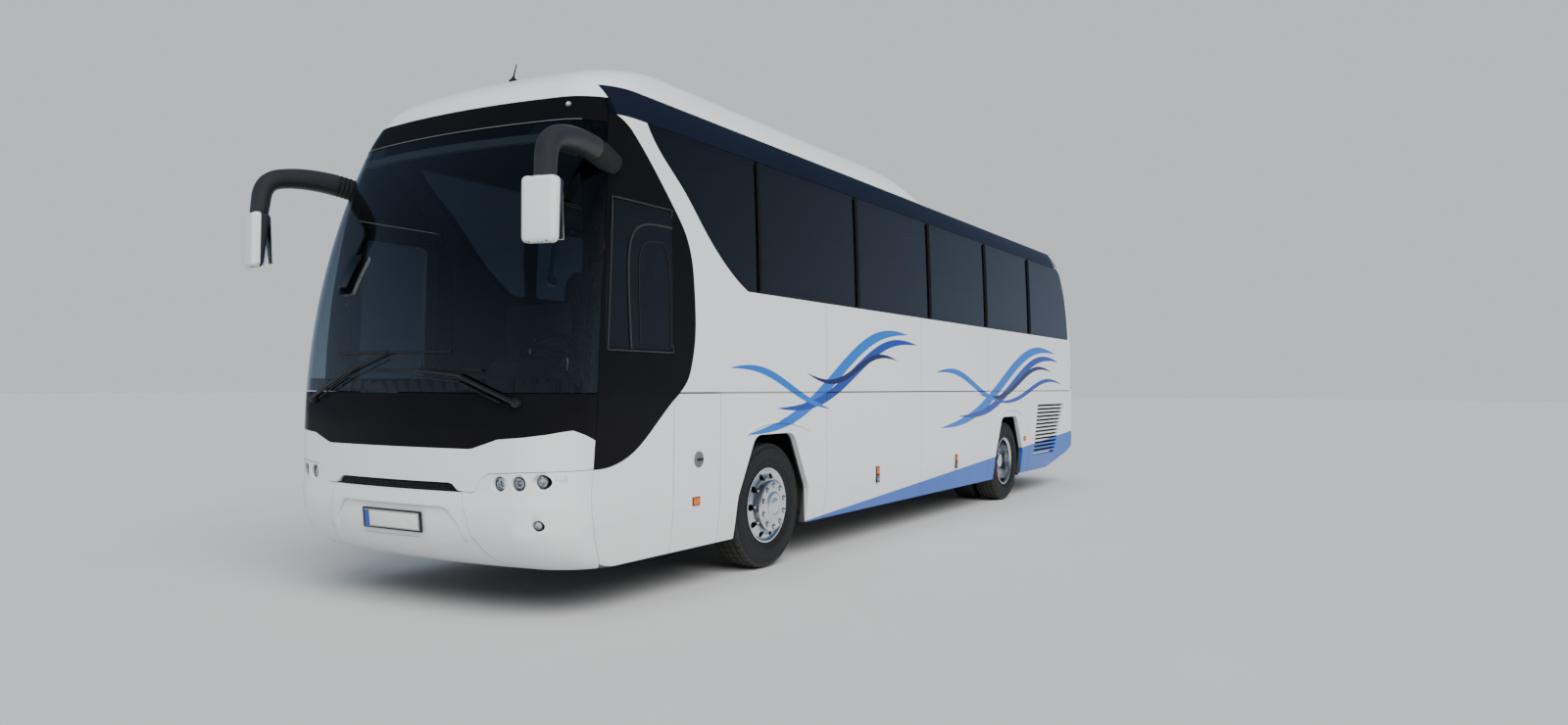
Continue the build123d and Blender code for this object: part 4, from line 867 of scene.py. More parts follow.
# Sidewall from bead to shoulder: radius and distance from the tyre's middle.
SIDEWALL = (
    (0.29, 0.112), (0.304, 0.112), (0.318, 0.122), (0.34, 0.134), (0.354, 0.1405), (0.358, 0.1465),
    (0.366, 0.147), (0.371, 0.143), (0.395, 0.1465), (0.425, 0.146), (0.449, 0.1425), (0.454, 0.1455),
    (0.462, 0.145), (0.467, 0.1405), (0.481, 0.1345), (0.493, 0.1275),
)


def tread_height(across):
    """The tread is a little lower at its edges."""
    return TYRE_RADIUS - TREAD_DROP * (across / TREAD_EDGE) ** 2


def tyre_part():
    """One tyre about Z with grooves around it and slots across it."""
    line = list(SIDEWALL) + [(tread_height(TREAD_EDGE), TREAD_EDGE)]
    for groove in GROOVES:
        for edge, depth in ((GROOVE_HALF, 0), (GROOVE_HALF * 0.7, GROOVE_DEPTH)):
            line.append((tread_height(groove + edge) - depth, groove + edge))
        for edge, depth in ((GROOVE_HALF * 0.7, GROOVE_DEPTH), (GROOVE_HALF, 0)):
            line.append((tread_height(groove - edge) - depth, groove - edge))
    line.append((tread_height(TREAD_EDGE), -TREAD_EDGE))
    line += [(radius, -out) for radius, out in reversed(SIDEWALL)]
    part = turned(line + [line[0]], TYRE_STEPS)
    slots = []
    for face in part.faces:
        middle = face.calc_center_median()
        turn = math.atan2(middle.y, middle.x) / math.tau * TYRE_STEPS
        on_tread = middle.xy.length > 0.492 and abs(face.normal.z) < 0.85
        if on_tread and int(turn + TYRE_STEPS) % 2 and face.calc_area() > 0.0004:
            slots.append(face)
    bmesh.ops.inset_individual(part, faces=slots, thickness=0.0035, depth=0.0)
    bmesh.ops.inset_individual(part, faces=slots, thickness=0.001, depth=-0.005)
    return part


def wheel_place(side, out, hub):
    """A wheel's place: its axle along X, its outer face away from the coach."""
    turn = Matrix.Rotation(side * math.pi / 2, 4, "Y")
    return at(side * out, hub.y, hub.z) @ turn


WHEEL_OUT = 1.075
TWIN_GAP = 0.335
for side, name in SIDE_NAMES.items():
    bm = bmesh.new()
    add_part(bm, tyre_part(), [wheel_place(side, WHEEL_OUT, HUB["front"])])
    finish_piece(
        f"front_{name}_tread", bm, [tyre_rubber["front"]], f"front_{name}_wheel",
        [f"front_{name}_tyre"],
    )
    bm = bmesh.new()
    places = [wheel_place(side, out, HUB["rear"]) for out in (WHEEL_OUT, WHEEL_OUT - TWIN_GAP)]
    add_part(bm, tyre_part(), places)
    twin = finish_piece(
        f"rear_{name}_treads", bm, [tyre_rubber["rear"]], f"rear_{name}_wheels",
        [f"rear_{name}_tyres"],
    )
print("a pair of twin tyres has", len(twin.data.polygons), "faces")

# %% [markdown]
# Ten nuts hold each wheel. Each has a washer, six flats and a stud end, and the front hubs carry a flat
# polished cap. The faces that they sit on are found by rays along the axle, so they follow the rims.

# %% Wheel nuts and hub caps
BOLT_RING = 0.1675
NUTS = 10


def rim_face(node, side, hub, radius, turn):
    """Finds a rim's outer face at a radius and a turn about the axle, as a place that faces outward."""
    start = Vector((side * 2.0, hub.y + radius * math.cos(turn), hub.z + radius * math.sin(turn)))
    hit = skin_of(node).ray_cast(start, Vector((-side, 0, 0)))[0]
    return place_on(hit, Vector((side, 0, 0)))


def nut_part():
    """A flanged nut with its stud, standing on Z 0."""
    part = turned(((0.0, 0.0), (0.0235, 0.0), (0.0235, 0.003), (0.018, 0.006), (0.0, 0.006)), 24)
    nut = bmesh.new()
    bmesh.ops.create_cone(nut, cap_ends=True, segments=6, radius1=0.0172, radius2=0.0172, depth=0.02)
    bmesh.ops.translate(nut, vec=(0, 0, 0.015), verts=nut.verts)
    add_part(part, soften(nut, 0.0018, 2))
    stud = turned(((0.0, 0.022), (0.0095, 0.022), (0.0095, 0.031), (0.007, 0.033), (0.0, 0.033)), 16)
    add_part(part, stud)
    return part


CAP_LINE = (
    (0.0, 0.0), (0.094, 0.0), (0.097, 0.002), (0.097, 0.003), (0.094, 0.0055), (0.07, 0.006), (0.067, 0.0045),
    (0.064, 0.006), (0.0, 0.007),
)
REAR_CAP_LINE = ((0.0, 0.0), (0.088, 0.0), (0.088, 0.02), (0.08, 0.03), (0.0, 0.034))
for axle, body in (("front", "wheel"), ("rear", "wheels")):
    for side, name in SIDE_NAMES.items():
        node = f"{axle}_{name}_rim" + ("s" if axle == "rear" else "")
        hub = HUB[axle]
        bm = bmesh.new()
        turns = [math.tau * (number + 0.5) / NUTS for number in range(NUTS)]
        add_part(bm, nut_part(), [rim_face(node, side, hub, BOLT_RING, turn) for turn in turns])
        centre = rim_face(node, side, hub, 0.0, 0.0)
        cap = turned(CAP_LINE, 64) if axle == "front" else turned(REAR_CAP_LINE)
        add_part(bm, cap, [centre], 1)
        ridden = f"{axle}_{name}_{body}"
        finish_piece(f"{axle}_{name}_nuts", bm, [wheel_metal[axle], chrome], ridden)
print(NUTS, "nuts on each wheel")

# %% [markdown]
# Three round lamps and a small pointed one sit in hollows of the bumper on each side. Each lamp is turned: a
# black ring, a chromed bowl and, as pieces of clear glass, a thick projector lens with a domed cover ahead of
# it. The lamps face between straight ahead and the way that the bumper's skin faces.

# %% Front lamps
LAMP_PLACES = ((0.883, 0.873), (1.014, 0.878), (1.138, 0.889))
LAMP_HOLE = 0.046
LAMP_SINK = 0.022
FOG_PLACE = (1.117, 0.622)
FOG_HOLE = 0.034
MARKER_PLACE = (1.216, 0.902)
# Half sections of the ring, the bowl, the projector lens and the cover: radius and height over the ring's foot.
RING_LINE = (
    (0.0435, -0.03), (0.0435, 0.001), (0.042, 0.004), (0.04, 0.004), (0.0385, 0.001), (0.0385, -0.03),
    (0.0435, -0.03),
)
BOWL_LINE = (
    (0.0385, 0.0), (0.037, -0.006), (0.032, -0.018), (0.0245, -0.026), (0.024, -0.014), (0.0215, -0.014),
    (0.0205, -0.03), (0.0, -0.03),
)
PROJECTOR_LINE = (
    (0.0, -0.002), (0.008, -0.0035), (0.015, -0.008), (0.0195, -0.015), (0.02, -0.02), (0.0, -0.02),
)
COVER_LINE = (
    (0.0, 0.0085), (0.015, 0.0075), (0.029, 0.0045), (0.038, 0.0005), (0.037, -0.0015), (0.028, 0.002),
    (0.015, 0.005), (0.0, 0.006),
)


def lamp_place(x, z, reach, sink, turn_share=0.5):
    """A lamp's place: midway across its hole, sunk in, and turned part of the way towards the skin's normal."""
    near = on_front(x - math.copysign(reach, x), z)
    far = on_front(x + math.copysign(reach, x), z)
    middle = (near.translation + far.translation) / 2
    normal = (near.col[2].xyz + far.col[2].xyz).normalized()
    facing = Vector((0, -1, 0)).lerp(normal, turn_share).normalized()
    return place_on(middle - normal * sink, facing)


bowls = bmesh.new()
lenses = bmesh.new()
for side in SIDE_NAMES:
    places = [lamp_place(side * x, z, LAMP_HOLE + 0.004, LAMP_SINK) for x, z in LAMP_PLACES]
    add_part(bowls, turned(RING_LINE), places, 0)
    add_part(bowls, turned(BOWL_LINE), places, 1)
    add_part(lenses, turned(PROJECTOR_LINE), places, 0)
    add_part(lenses, turned(COVER_LINE), places, 0)
    fog = [lamp_place(side * FOG_PLACE[0], FOG_PLACE[1], FOG_HOLE + 0.004, 0.014, 0.7)]
    small = FOG_HOLE / LAMP_HOLE
    shrink = Matrix.Diagonal((small, small, small, 1.0))
    add_part(bowls, turned(RING_LINE), [fog[0] @ shrink], 0)
    add_part(bowls, turned(BOWL_LINE), [fog[0] @ shrink], 1)
    add_part(lenses, turned(COVER_LINE), [fog[0] @ shrink], 0)
    marker = on_front(side * MARKER_PLACE[0], MARKER_PLACE[1], -0.004)
    flatten = Matrix.Diagonal((0.85, 0.5, 0.9, 1.0))
    add_part(bowls, turned(RING_LINE), [marker @ flatten], 0)
    add_part(lenses, turned(COVER_LINE), [marker @ flatten], 1)
finish_piece("lamp_bowls", bowls, [black_plastic, chrome], "coach_body")
finish_piece("lamp_lenses", lenses, [lamp_glass, clear_lens], "coach_body", ["front_lamps"])
print("front lamps:", 2 * (len(LAMP_PLACES) + 2))

# %% [markdown]
# The number plates stay blank. A plate is pressed sheet with a raised rim in a black plastic frame, held by
# two screws, with a plain blue field at its end.

# %% Number plates
PLATE_SIZE = (0.52, 0.112)


def plate_piece(name, place, body):
    """A blank plate in its frame, on a place."""
    bm = bmesh.new()
    width, height = PLATE_SIZE
    add_part(bm, block((width + 0.04, height + 0.024, 0.012), 0.004), [place @ at(0, 0, 0.008)], 0)
    add_part(bm, block((width, height, 0.004), 0.0015), [place @ at(0, 0, 0.015)], 1)
    bar = block((0.044, height - 0.01, 0.002), 0.0008)
    add_part(bm, bar, [place @ at(-width / 2 + 0.028, 0, 0.0175)], 2)
    for end in (1, -1):
        long_bar = block((width - 0.004, 0.003, 0.002), 0.0008)
        add_part(bm, long_bar, [place @ at(0, end * (height / 2 - 0.004), 0.0175)], 0)
        short_bar = block((0.003, height - 0.004, 0.002), 0.0008)
        add_part(bm, short_bar, [place @ at(end * (width / 2 - 0.004), 0, 0.0175)], 0)
    screw = turned(((0.0, 0.0), (0.0055, 0.0), (0.0055, 0.0015), (0.003, 0.003), (0.0, 0.003)), 16)
    add_part(bm, screw, [place @ at(x, 0, 0.0165) for x in (-0.16, 0.16)], 3)
    return finish_piece(name, bm, [black_plastic, plate_white, plate_blue, chrome], body)


plate_piece("front_plate", on_front(0.0, 0.607), "front_flap_body")
plate_piece("rear_plate", on_back(0.0, 0.655), "coach_body")
print("two blank plates of", PLATE_SIZE, "m")

# %% [markdown]
# Behind the long slot in the nose lies a grille. Its bars follow the bow of the nose: rays give points along
# each bar, and a thin tube runs through them.

# %% Slot grille
SLOT_HALF = 0.5
SLOT_BARS = (0.827, 0.839, 0.851)


def bowed_bar(height, half, radius, lift, steps=24):
    """A bar that follows the nose at a height."""
    spots = [on_front(half * (2 * step / steps - 1), height, lift).translation for step in range(steps + 1)]
    return tube(spots, radius, 8)


def bowed_sheet(low, high, half, lift, thickness=0.003, steps=40):
    """A thin sheet that follows the nose between two heights."""
    part = bmesh.new()
    bmesh.ops.create_grid(part, x_segments=steps, y_segments=4, size=0.5)
    for vert in part.verts:
        vert.co = on_front(2 * half * vert.co.x, low + (high - low) * (vert.co.y + 0.5), lift).translation
    bmesh.ops.solidify(part, geom=part.faces[:], thickness=thickness)
    bmesh.ops.recalc_face_normals(part, faces=part.faces)
    return part


bm = bmesh.new()
for height in SLOT_BARS:
    add_part(bm, bowed_bar(height, SLOT_HALF, 0.0026, 0.002))
for number in range(21):
    upright = on_front(-SLOT_HALF + number * SLOT_HALF / 10, 0.84, 0.0015)
    add_part(bm, block((0.003, 0.034, 0.003), 0.0008), [upright])
finish_piece("slot_bars", bm, [black_plastic], "coach_body")
print("slot grille has", len(SLOT_BARS), "bars")

# %% [markdown]
# A wiper is a splined cap on its pivot, a folded steel arm with a thin second rod that keeps the blade
# upright, and a blade: a spine with claws that press a rubber lip on the glass.

# %% Wipers
# Each: pivot, knee and end of the arm as X and height, then the blade's ends and height.
WIPERS = {
    "left": ((1.0, 1.372), (0.576, 1.54), (0.23, 1.572), (-0.28, 0.743, 1.572)),
    "right": ((-0.904, 1.38), (-0.48, 1.56), (-0.08, 1.69), (-0.648, 0.485, 1.69)),
}


def wiper_piece(name, pivot, knee, tip, blade):
    """One wiper that lies just off the glass."""
    bm = bmesh.new()
    cap = turned(((0.0, 0.0), (0.034, 0.0), (0.034, 0.014), (0.028, 0.03), (0.016, 0.036), (0.0, 0.037)), 32)
    add_part(bm, cap, [on_front(*pivot)])
    corners = [(pivot, 0.026), (knee, 0.03), (tip, 0.028)]
    route = []
    for ((x, z), lift), ((next_x, next_z), next_lift) in zip(corners, corners[1:]):
        for step in range(8):
            share = step / 8
            height = lift + (next_lift - lift) * share
            route.append(on_front(x + (next_x - x) * share, z + (next_z - z) * share, height).translation)
    route.append(on_front(*tip, 0.028).translation)
    widths = [0.015 - 0.0065 * number / len(route) for number in range(len(route))]
    add_part(bm, tube(route, widths, 10))
    drop = Vector((0, 0, -0.042))
    add_part(bm, tube([spot + drop for spot in route[2:]], 0.0045, 8))
    start, end, height = blade
    steps = 26
    xs = [start + (end - start) * step / steps for step in range(steps + 1)]
    lip = [on_front(x, height, 0.006).translation for x in xs]
    add_part(bm, tube(lip, (0.0035, 0.0085), 8), finish=1)
    bows = [math.sin(math.pi * step / steps) for step in range(len(xs))]
    spine = [on_front(x, height, 0.014 + 0.01 * bow).translation for x, bow in zip(xs, bows)]
    add_part(bm, tube(spine, [0.0035 + 0.003 * bow for bow in bows], 8))
    for share in (0.08, 0.3, 0.5, 0.7, 0.92):
        claw = on_front(start + (end - start) * share, height, 0.012)
        add_part(bm, block((0.018, 0.013, 0.012), 0.003), [claw])
    nozzle = on_front(tip[0], tip[1], 0.026)
    add_part(bm, block((0.06, 0.022, 0.016), 0.005), [nozzle])
    return finish_piece(f"{name}_wiper", bm, [black_plastic, rubber], "coach_body", ["wipers"])


for name, (pivot, knee, tip, blade) in WIPERS.items():
    wiper_piece(name, pivot, knee, tip, blade)
print("wipers:", ", ".join(WIPERS))

# %% [markdown]
# The mirrors hang from fat horns at the corners of the roof. A horn is a tube whose radius changes along the
# way, so the ribs of its rubber sleeve are just short steps in that list. The head is a block with round
# edges, deeper at its top than at its foot and turned outward, under a white cap that has been knocked.

# %% Mirrors
# The horn's middle line on the left: X, distance behind the nose and height.
HORN_LINE = (
    (1.2, 0.73, 2.93), (1.262, 0.48, 2.985), (1.32, 0.19, 2.99), (1.352, -0.03, 2.93), (1.362, -0.055, 2.69),
)
SLEEVE_SHARE = 0.3
HEAD_SIZE = (0.226, 0.128, 0.385)
HEAD_MIDDLE = (1.362, -0.07, 2.498)
HEAD_TURN = math.radians(14)


def make_chipped_white():
    """White mirror caps whose lacquer has been scraped off in spots near their ends."""
    material, tree, shader, place = start_material("chipped_white")
    away = calc(tree, "ABSOLUTE", calc(tree, "SUBTRACT", axes_of(tree, place)[2], HEAD_MIDDLE[2]))
    edge = calc(tree, "MULTIPLY", calc(tree, "SUBTRACT", away, 0.155), 26.0, clamp=True)
    chips = noise(tree, place, 38.0, 6.0, 0.7)
    spots = calc(tree, "MULTIPLY_ADD", edge, 0.17, chips)
    spots = calc(tree, "MULTIPLY", calc(tree, "SUBTRACT", spots, 0.7), 30.0, clamp=True)
    colour = mix_colour(tree, spots, (0.78, 0.79, 0.79, 1), (0.1, 0.1, 0.1, 1))
    height = calc(tree, "MULTIPLY", spots, -1.0)
    finish_shader(tree, shader, colour, mix_value(tree, spots, 0.28, 0.7), height, 0.6, 0.0008)
    return material


def mirror_head(grow):
    """The head as a block with round edges that is deeper at its top, grown by a little all round."""
    part = block([length + 2 * grow for length in HEAD_SIZE], 0.036, 6)
    for vert in part.verts:
        share = vert.co.z / HEAD_SIZE[2]
        vert.co.y = (vert.co.y + HEAD_SIZE[1] / 2) * (0.82 + 0.36 * share) - HEAD_SIZE[1] / 2
        vert.co.x *= 0.98 + 0.06 * share
    return part


def mirror_piece(name, side):
    """One mirror with its horn, its rubber sleeve, its head, its cap and its glass."""
    bm = bmesh.new()
    route = rounded_path([(side * x, NOSE_Y + along, z) for x, along, z in HORN_LINE], 4)
    radii = []
    for number in range(len(route)):
        share = number / (len(route) - 1)
        if share < SLEEVE_SHARE:
            radii.append(0.078 + (0.004 if number % 2 else -0.002))
        else:
            thin = (share - SLEEVE_SHARE) / (1 - SLEEVE_SHARE)
            radii.append((0.08 - 0.012 * thin, 0.08 - 0.022 * thin))
    split = sum(1 for number in range(len(route)) if number / (len(route) - 1) < SLEEVE_SHARE)
    add_part(bm, tube(route[:split], radii[:split], 28), finish=1)
    add_part(bm, tube(route[split - 1:], [0.079] + radii[split:], 28), finish=0)
    x, along, z = HEAD_MIDDLE
    turn = Matrix.Rotation(side * HEAD_TURN, 4, "Z")
    place = at(side * x, NOSE_Y + along, z) @ turn
    add_part(bm, mirror_head(0.0), [place], 0)
    cap = mirror_head(0.0035)
    cut = bmesh.ops.bisect_plane(
        cap, geom=cap.verts[:] + cap.edges[:] + cap.faces[:], plane_co=(0, -0.012, 0), plane_no=(0, 1, 0),
        clear_outer=True,
    )
    bmesh.ops.holes_fill(cap, edges=[item for item in cut["geom_cut"] if isinstance(item, bmesh.types.BMEdge)])
    add_part(bm, cap, [place], 2)
    behind = place @ at(0, HEAD_SIZE[1] / 2 + 0.004, 0) @ Matrix.Rotation(-math.pi / 2, 4, "X")
    lean = tilt(3.4, "X")
    glass = block((HEAD_SIZE[0] - 0.036, HEAD_SIZE[2] - 0.05, 0.006), 0.0025)
    add_part(bm, glass, [behind @ lean], 3)
    return finish_piece(
        f"{name}_mirror", bm, [horn_plastic, rubber, chipped_white, mirror_silver], "coach_body",
        ["mirrors"],
    )


horn_plastic = make_finish("horn_plastic", (0.028, 0.029, 0.032, 1), 0.38, 500.0, 0.0003)
chipped_white = make_chipped_white()
for side, name in SIDE_NAMES.items():
    mirror_piece(name, side)
print("mirror heads stand", HEAD_MIDDLE[0], "m from the middle")

# %% [markdown]
# Small fittings of the sides: orange marker lamps, locks with an orange reflector over them, the fuel cap and
# the raised lips over the wheels. Those on a flap ride on the flap, and so they open with it.

# %% Side fittings
LOCK_PLACES = {
    (1, 4.7): "left_front_flap_body", (1, 6.84): "left_rear_flap_body", (-1, 4.7): "right_flap_body",
}
LOCK_HEIGHT = 0.625
MARKER_PLACES = {
    (1, 1.62, 0.65): "service_flap_body", (-1, 1.85, 0.65): "coach_body", (1, 9.45, 0.78): "coach_body",
    (-1, 9.45, 0.78): "coach_body", (-1, 7.4, 0.72): "coach_body",
}
LIP_POINTS = ((-0.47, 1.085), (-0.36, 1.14), (-0.14, 1.185), (0.1, 1.19), (0.36, 1.16), (0.6, 1.095))


def fixture(kind):
    """A lock with its reflector, a marker lamp or the fuel cap, standing on Z 0, as parts with their finish."""
    if kind == "lock":
        yield block((0.078, 0.158, 0.012), 0.005), (0, 0, 0.003), 0
        yield block((0.062, 0.066, 0.006), 0.003), (0, 0.038, 0.01), 1
        yield block((0.062, 0.06, 0.004), 0.002), (0, -0.04, 0.009), 2
        keyhole = turned(((0.0, 0.0), (0.013, 0.0), (0.013, 0.006), (0.01, 0.008), (0.0, 0.008)), 24)
        yield keyhole, (0, -0.04, 0.01), 3
    elif kind == "marker":
        yield block((0.094, 0.062, 0.01), 0.005), (0, 0, 0.002), 0
        yield block((0.08, 0.048, 0.012), 0.005, 3), (0, 0, 0.007), 1
    else:
        yield turned(((0.0, 0.0), (0.058, 0.0), (0.058, 0.004), (0.05, 0.01), (0.0, 0.012)), 40), (0, 0, 0), 2
        yield block((0.07, 0.016, 0.014), 0.005), (0, 0, 0.014), 0


def fixture_piece(name, kind, place, body):
    """Puts a fixture's parts on a place."""
    bm = bmesh.new()
    for part, shift, finish in fixture(kind):
        add_part(bm, part, [place @ Matrix.Translation(shift)], finish)
    return finish_piece(name, bm, [black_plastic, amber_lens, grey_plastic, chrome], body)


for number, ((side, along), body) in enumerate(LOCK_PLACES.items()):
    fixture_piece(f"flap_lock_{number + 1}", "lock", on_side(side, along, LOCK_HEIGHT), body)
for number, ((side, along, height), body) in enumerate(MARKER_PLACES.items()):
    fixture_piece(f"side_marker_{number + 1}", "marker", on_side(side, along, height), body)
fixture_piece("fuel_cap", "cap", on_side(1, 1.65, 0.95), "service_flap_body")
bm = bmesh.new()
for side in SIDE_NAMES:
    for hub in HUB.values():
        along = hub.y - NOSE_Y
        spots = [on_side(side, along + shift, height, 0.001).translation for shift, height in LIP_POINTS]
        spots = rounded_path(spots, 3)
        shares = [math.sin(math.pi * (number + 0.2) / (len(spots) - 0.6)) for number in range(len(spots))]
        add_part(bm, tube(spots, [max(0.0012, 0.012 * share) for share in shares], 10))
finish_piece("arch_lips", bm, [side_paint], "coach_body")
print("side fittings:", len(LOCK_PLACES) + len(MARKER_PLACES) + 1)

# %% [markdown]
# The driver's window is two panes in a rubber frame, and the rear one slides. The frame's lines are tubes on
# the glass whose routes are rounded polygons, so the sliding pane gets its high rounded corner.

# %% Driver's window frame
PANE_OUTER = ((0.625, 1.712), (1.335, 1.712), (1.335, 2.712), (0.69, 2.712))
SLIDER_LINE = (
    (0.862, 1.725), (0.835, 2.15), (0.845, 2.4), (0.905, 2.52), (1.01, 2.572), (1.15, 2.585), (1.325, 2.585),
)
SLIDER_INNER = ((0.965, 1.745), (0.95, 2.2), (0.96, 2.36), (1.01, 2.44), (1.1, 2.47), (1.3, 2.47), (1.3, 1.745))


def side_route(points, side, lift, rounds=0):
    """Lays a route of distances behind the nose and heights on the coach's side."""
    points = rounded_path([(along, 0, height) for along, height in points], rounds)
    dense = [points[0]]
    for before, after in zip(points, points[1:]):
        pieces = max(1, round((after - before).length / 0.08))
        dense += [before.lerp(after, (step + 1) / pieces) for step in range(pieces)]
    return [on_side(side, point.x, point.z, lift).translation for point in dense]


bm = bmesh.new()
add_part(bm, tube(side_route(PANE_OUTER + (PANE_OUTER[0],), 1, 0.002), 0.0065, 8), finish=0)
add_part(bm, tube(side_route(SLIDER_LINE, 1, 0.003, 2), 0.008, 8), finish=0)
add_part(bm, tube(side_route(SLIDER_INNER, 1, 0.001, 2), 0.0045, 8), finish=1)
finish_piece("driver_window_frame", bm, [grey_rubber, rubber], "coach_body")
print("driver's window frame laid on the glass")

# %% [markdown]
# The passenger seats are soft, so their pads are blown up by a cloth simulation: a block with rounded corners
# is filled with a little pressure, no point may move further than a cap, and then sewn channels are pulled in.
# One seat pad, one back pad and one head pad are made that way, and every seat of the coach is a copy of them.

# %% Blow up a pad
PAD_PRESSURE = 4.0
PAD_FRAMES = 20


def plain_pad(size, cuts):
    """A block whose corners are rounded by smoothing, scaled back to its size."""
    part = bmesh.new()
    bmesh.ops.create_cube(part, size=1.0, matrix=Matrix.Diagonal((*size, 1.0)))
    bmesh.ops.subdivide_edges(part, edges=part.edges, cuts=cuts, use_grid_fill=True)
    for _ in range(4):
        bmesh.ops.smooth_vert(
            part, verts=part.verts, factor=0.5, use_axis_x=True, use_axis_y=True, use_axis_z=True
        )
    for axis in range(3):
        reach = max(abs(vert.co[axis]) for vert in part.verts)
        for vert in part.verts:
            vert.co[axis] *= size[axis] / 2 / reach
    return part


def blown_pad(size, cuts, cap):
    """Fills a pad with air in a cloth simulation and keeps each point within the cap."""
    part = plain_pad(size, cuts)
    mesh = bpy.data.meshes.new("pad_in_work")
    part.to_mesh(mesh)
    part.free()
    pad = bpy.data.objects.new("pad_in_work", mesh)
    scene = bpy.context.scene
    scene.collection.objects.link(pad)
    cloth = pad.modifiers.new("cloth", "CLOTH")
    cloth.settings.use_pressure = True
    cloth.settings.uniform_pressure_force = PAD_PRESSURE
    cloth.settings.effector_weights.gravity = 0.0
    for frame_number in range(1, PAD_FRAMES + 1):
        scene.frame_set(frame_number)
    filled = pad.evaluated_get(bpy.context.evaluated_depsgraph_get()).to_mesh()
    blown = bmesh.new()
    blown.from_mesh(mesh)
    for vert, point in zip(blown.verts, filled.vertices):
        move = point.co - vert.co
        vert.co += move * min(1.0, cap / max(move.length, 1e-9))
    bpy.data.objects.remove(pad)
    bpy.data.meshes.remove(mesh)
    scene.frame_set(1)
    return blown


def sew(part, axis, place, depth, face_axis, face_sign, half=0.011):
    """Sews a channel across a pad's face: three cuts along the line, then the middle one is pulled in."""
    normal = Vector([float(number == axis) for number in range(3)])
    for shift in (-half, 0.0, half):
        geometry = part.verts[:] + part.edges[:] + part.faces[:]
        bmesh.ops.bisect_plane(part, geom=geometry, plane_co=normal * (place + shift), plane_no=normal)
    for vert in part.verts:
        if abs(vert.co[axis] - place) < half * 0.5 and face_sign * vert.co[face_axis] > 0.004:
            vert.co[face_axis] -= face_sign * depth
    return part


SEAT_PAD = (0.42, 0.43, 0.086)
BACK_PAD = (0.42, 0.092, 0.64)
HEAD_PAD = (0.27, 0.062, 0.15)
MASTER = {
    "seat": sew(sew(blown_pad(SEAT_PAD, 9, 0.01), 1, -0.08, 0.006, 2, 1), 1, 0.07, 0.006, 2, 1),
    "back": sew(sew(blown_pad(BACK_PAD, 9, 0.012), 0, -0.125, 0.006, 1, -1), 0, 0.125, 0.006, 1, -1),
    "head": blown_pad(HEAD_PAD, 6, 0.008),
}
print("pads:", {name: len(part.faces) for name, part in MASTER.items()})

# %% [markdown]
# Seats stand in pairs. Their frames are hard: a beam and two legs under each pair, a moulded shell behind each
# back, armrests, and a grab handle on the corner beside the aisle. Backs lean ten degrees.

# %% Passenger seats
SEAT_PITCH = 0.8
FIRST_ROW = 2.35
SEAT_ROWS = 11
SEAT_MIDDLES = (0.4825, 0.9275)
DECK = 1.44
BACK_LEAN = math.radians(10.2)
ROWS = {1: list(range(SEAT_ROWS)), -1: [row for row in range(SEAT_ROWS) if row not in (4, 5, 6)]}


def seat_places(side):
    """Gives the place of each seat on a side: its foot at the deck, its front edge at Y 0."""
    return [
        at(side * middle, NOSE_Y + FIRST_ROW + row * SEAT_PITCH, DECK)
        for row in ROWS[side]
        for middle in SEAT_MIDDLES
    ]


LEANING = at(0, 0.432, 0.44) @ Matrix.Rotation(-BACK_LEAN, 4, "X")
for side, name in SIDE_NAMES.items():
    places = seat_places(side)
    bm = bmesh.new()
    tipped = at(0, 0.216, 0.42) @ tilt(-3.5, "X")
    add_part(bm, MASTER["seat"].copy(), [place @ tipped for place in places])
    back = LEANING @ at(0, 0.046, 0.33)
    add_part(bm, MASTER["back"].copy(), [place @ back for place in places])
    head = LEANING @ at(0, 0.02, 0.6)
    add_part(bm, MASTER["head"].copy(), [place @ head for place in places])
    replaced = [f"{name}_seats"]
    pads = finish_piece(f"{name}_seat_pads", bm, [seat_cloth], "coach_body", replaced, 50)
    bm = bmesh.new()
    shell = LEANING @ at(0, 0.099, 0.33)
    add_part(bm, block((0.428, 0.016, 0.69), 0.007, 2), [place @ shell for place in places], 0)
    add_part(bm, block((0.4, 0.4, 0.018), 0.006, 1), [place @ at(0, 0.22, 0.368) for place in places], 0)
    net = LEANING @ at(0, 0.112, 0.15)
    add_part(bm, block((0.3, 0.014, 0.17), 0.006, 1), [place @ net for place in places], 1)
    tray = LEANING @ at(0, 0.111, 0.37)
    add_part(bm, block((0.33, 0.012, 0.2), 0.005, 1), [place @ tray for place in places], 1)
    arm = at(-side * 0.212, 0.3, 0.6)
    add_part(bm, block((0.04, 0.29, 0.034), 0.014, 3), [place @ arm for place in places], 1)
    pair = [at(side * 0.705, NOSE_Y + FIRST_ROW + row * SEAT_PITCH, DECK) for row in ROWS[side]]
    add_part(bm, block((0.81, 0.06, 0.05), 0.008, 1), [place @ at(0, 0.21, 0.335) for place in pair], 2)
    for shift in (-0.265, 0.255):
        leg = tube([(shift, 0.21, 0.32), (shift, 0.2, 0.16), (shift, 0.24, 0.02)], [0.02, 0.018, 0.024], 8)
        add_part(bm, leg, pair, 2)
        add_part(bm, block((0.06, 0.3, 0.014), 0.004, 1), [place @ at(shift, 0.22, 0.007) for place in pair], 2)
    grab = rounded_path([(-0.19, 0.11, 0.58), (-0.19, 0.15, 0.66), (-0.1, 0.15, 0.69), (-0.1, 0.11, 0.62)], 2)
    grab = tube([(side * point.x, point.y, point.z) for point in grab], 0.009, 8)
    add_part(bm, grab, [place @ LEANING for place in places[::2]], 0)
    finishes = [grey_plastic, black_plastic, chassis_steel]
    finish_piece(f"{name}_seat_frames", bm, finishes, "coach_body")
print("seats:", sum(2 * len(rows) for rows in ROWS.values()))

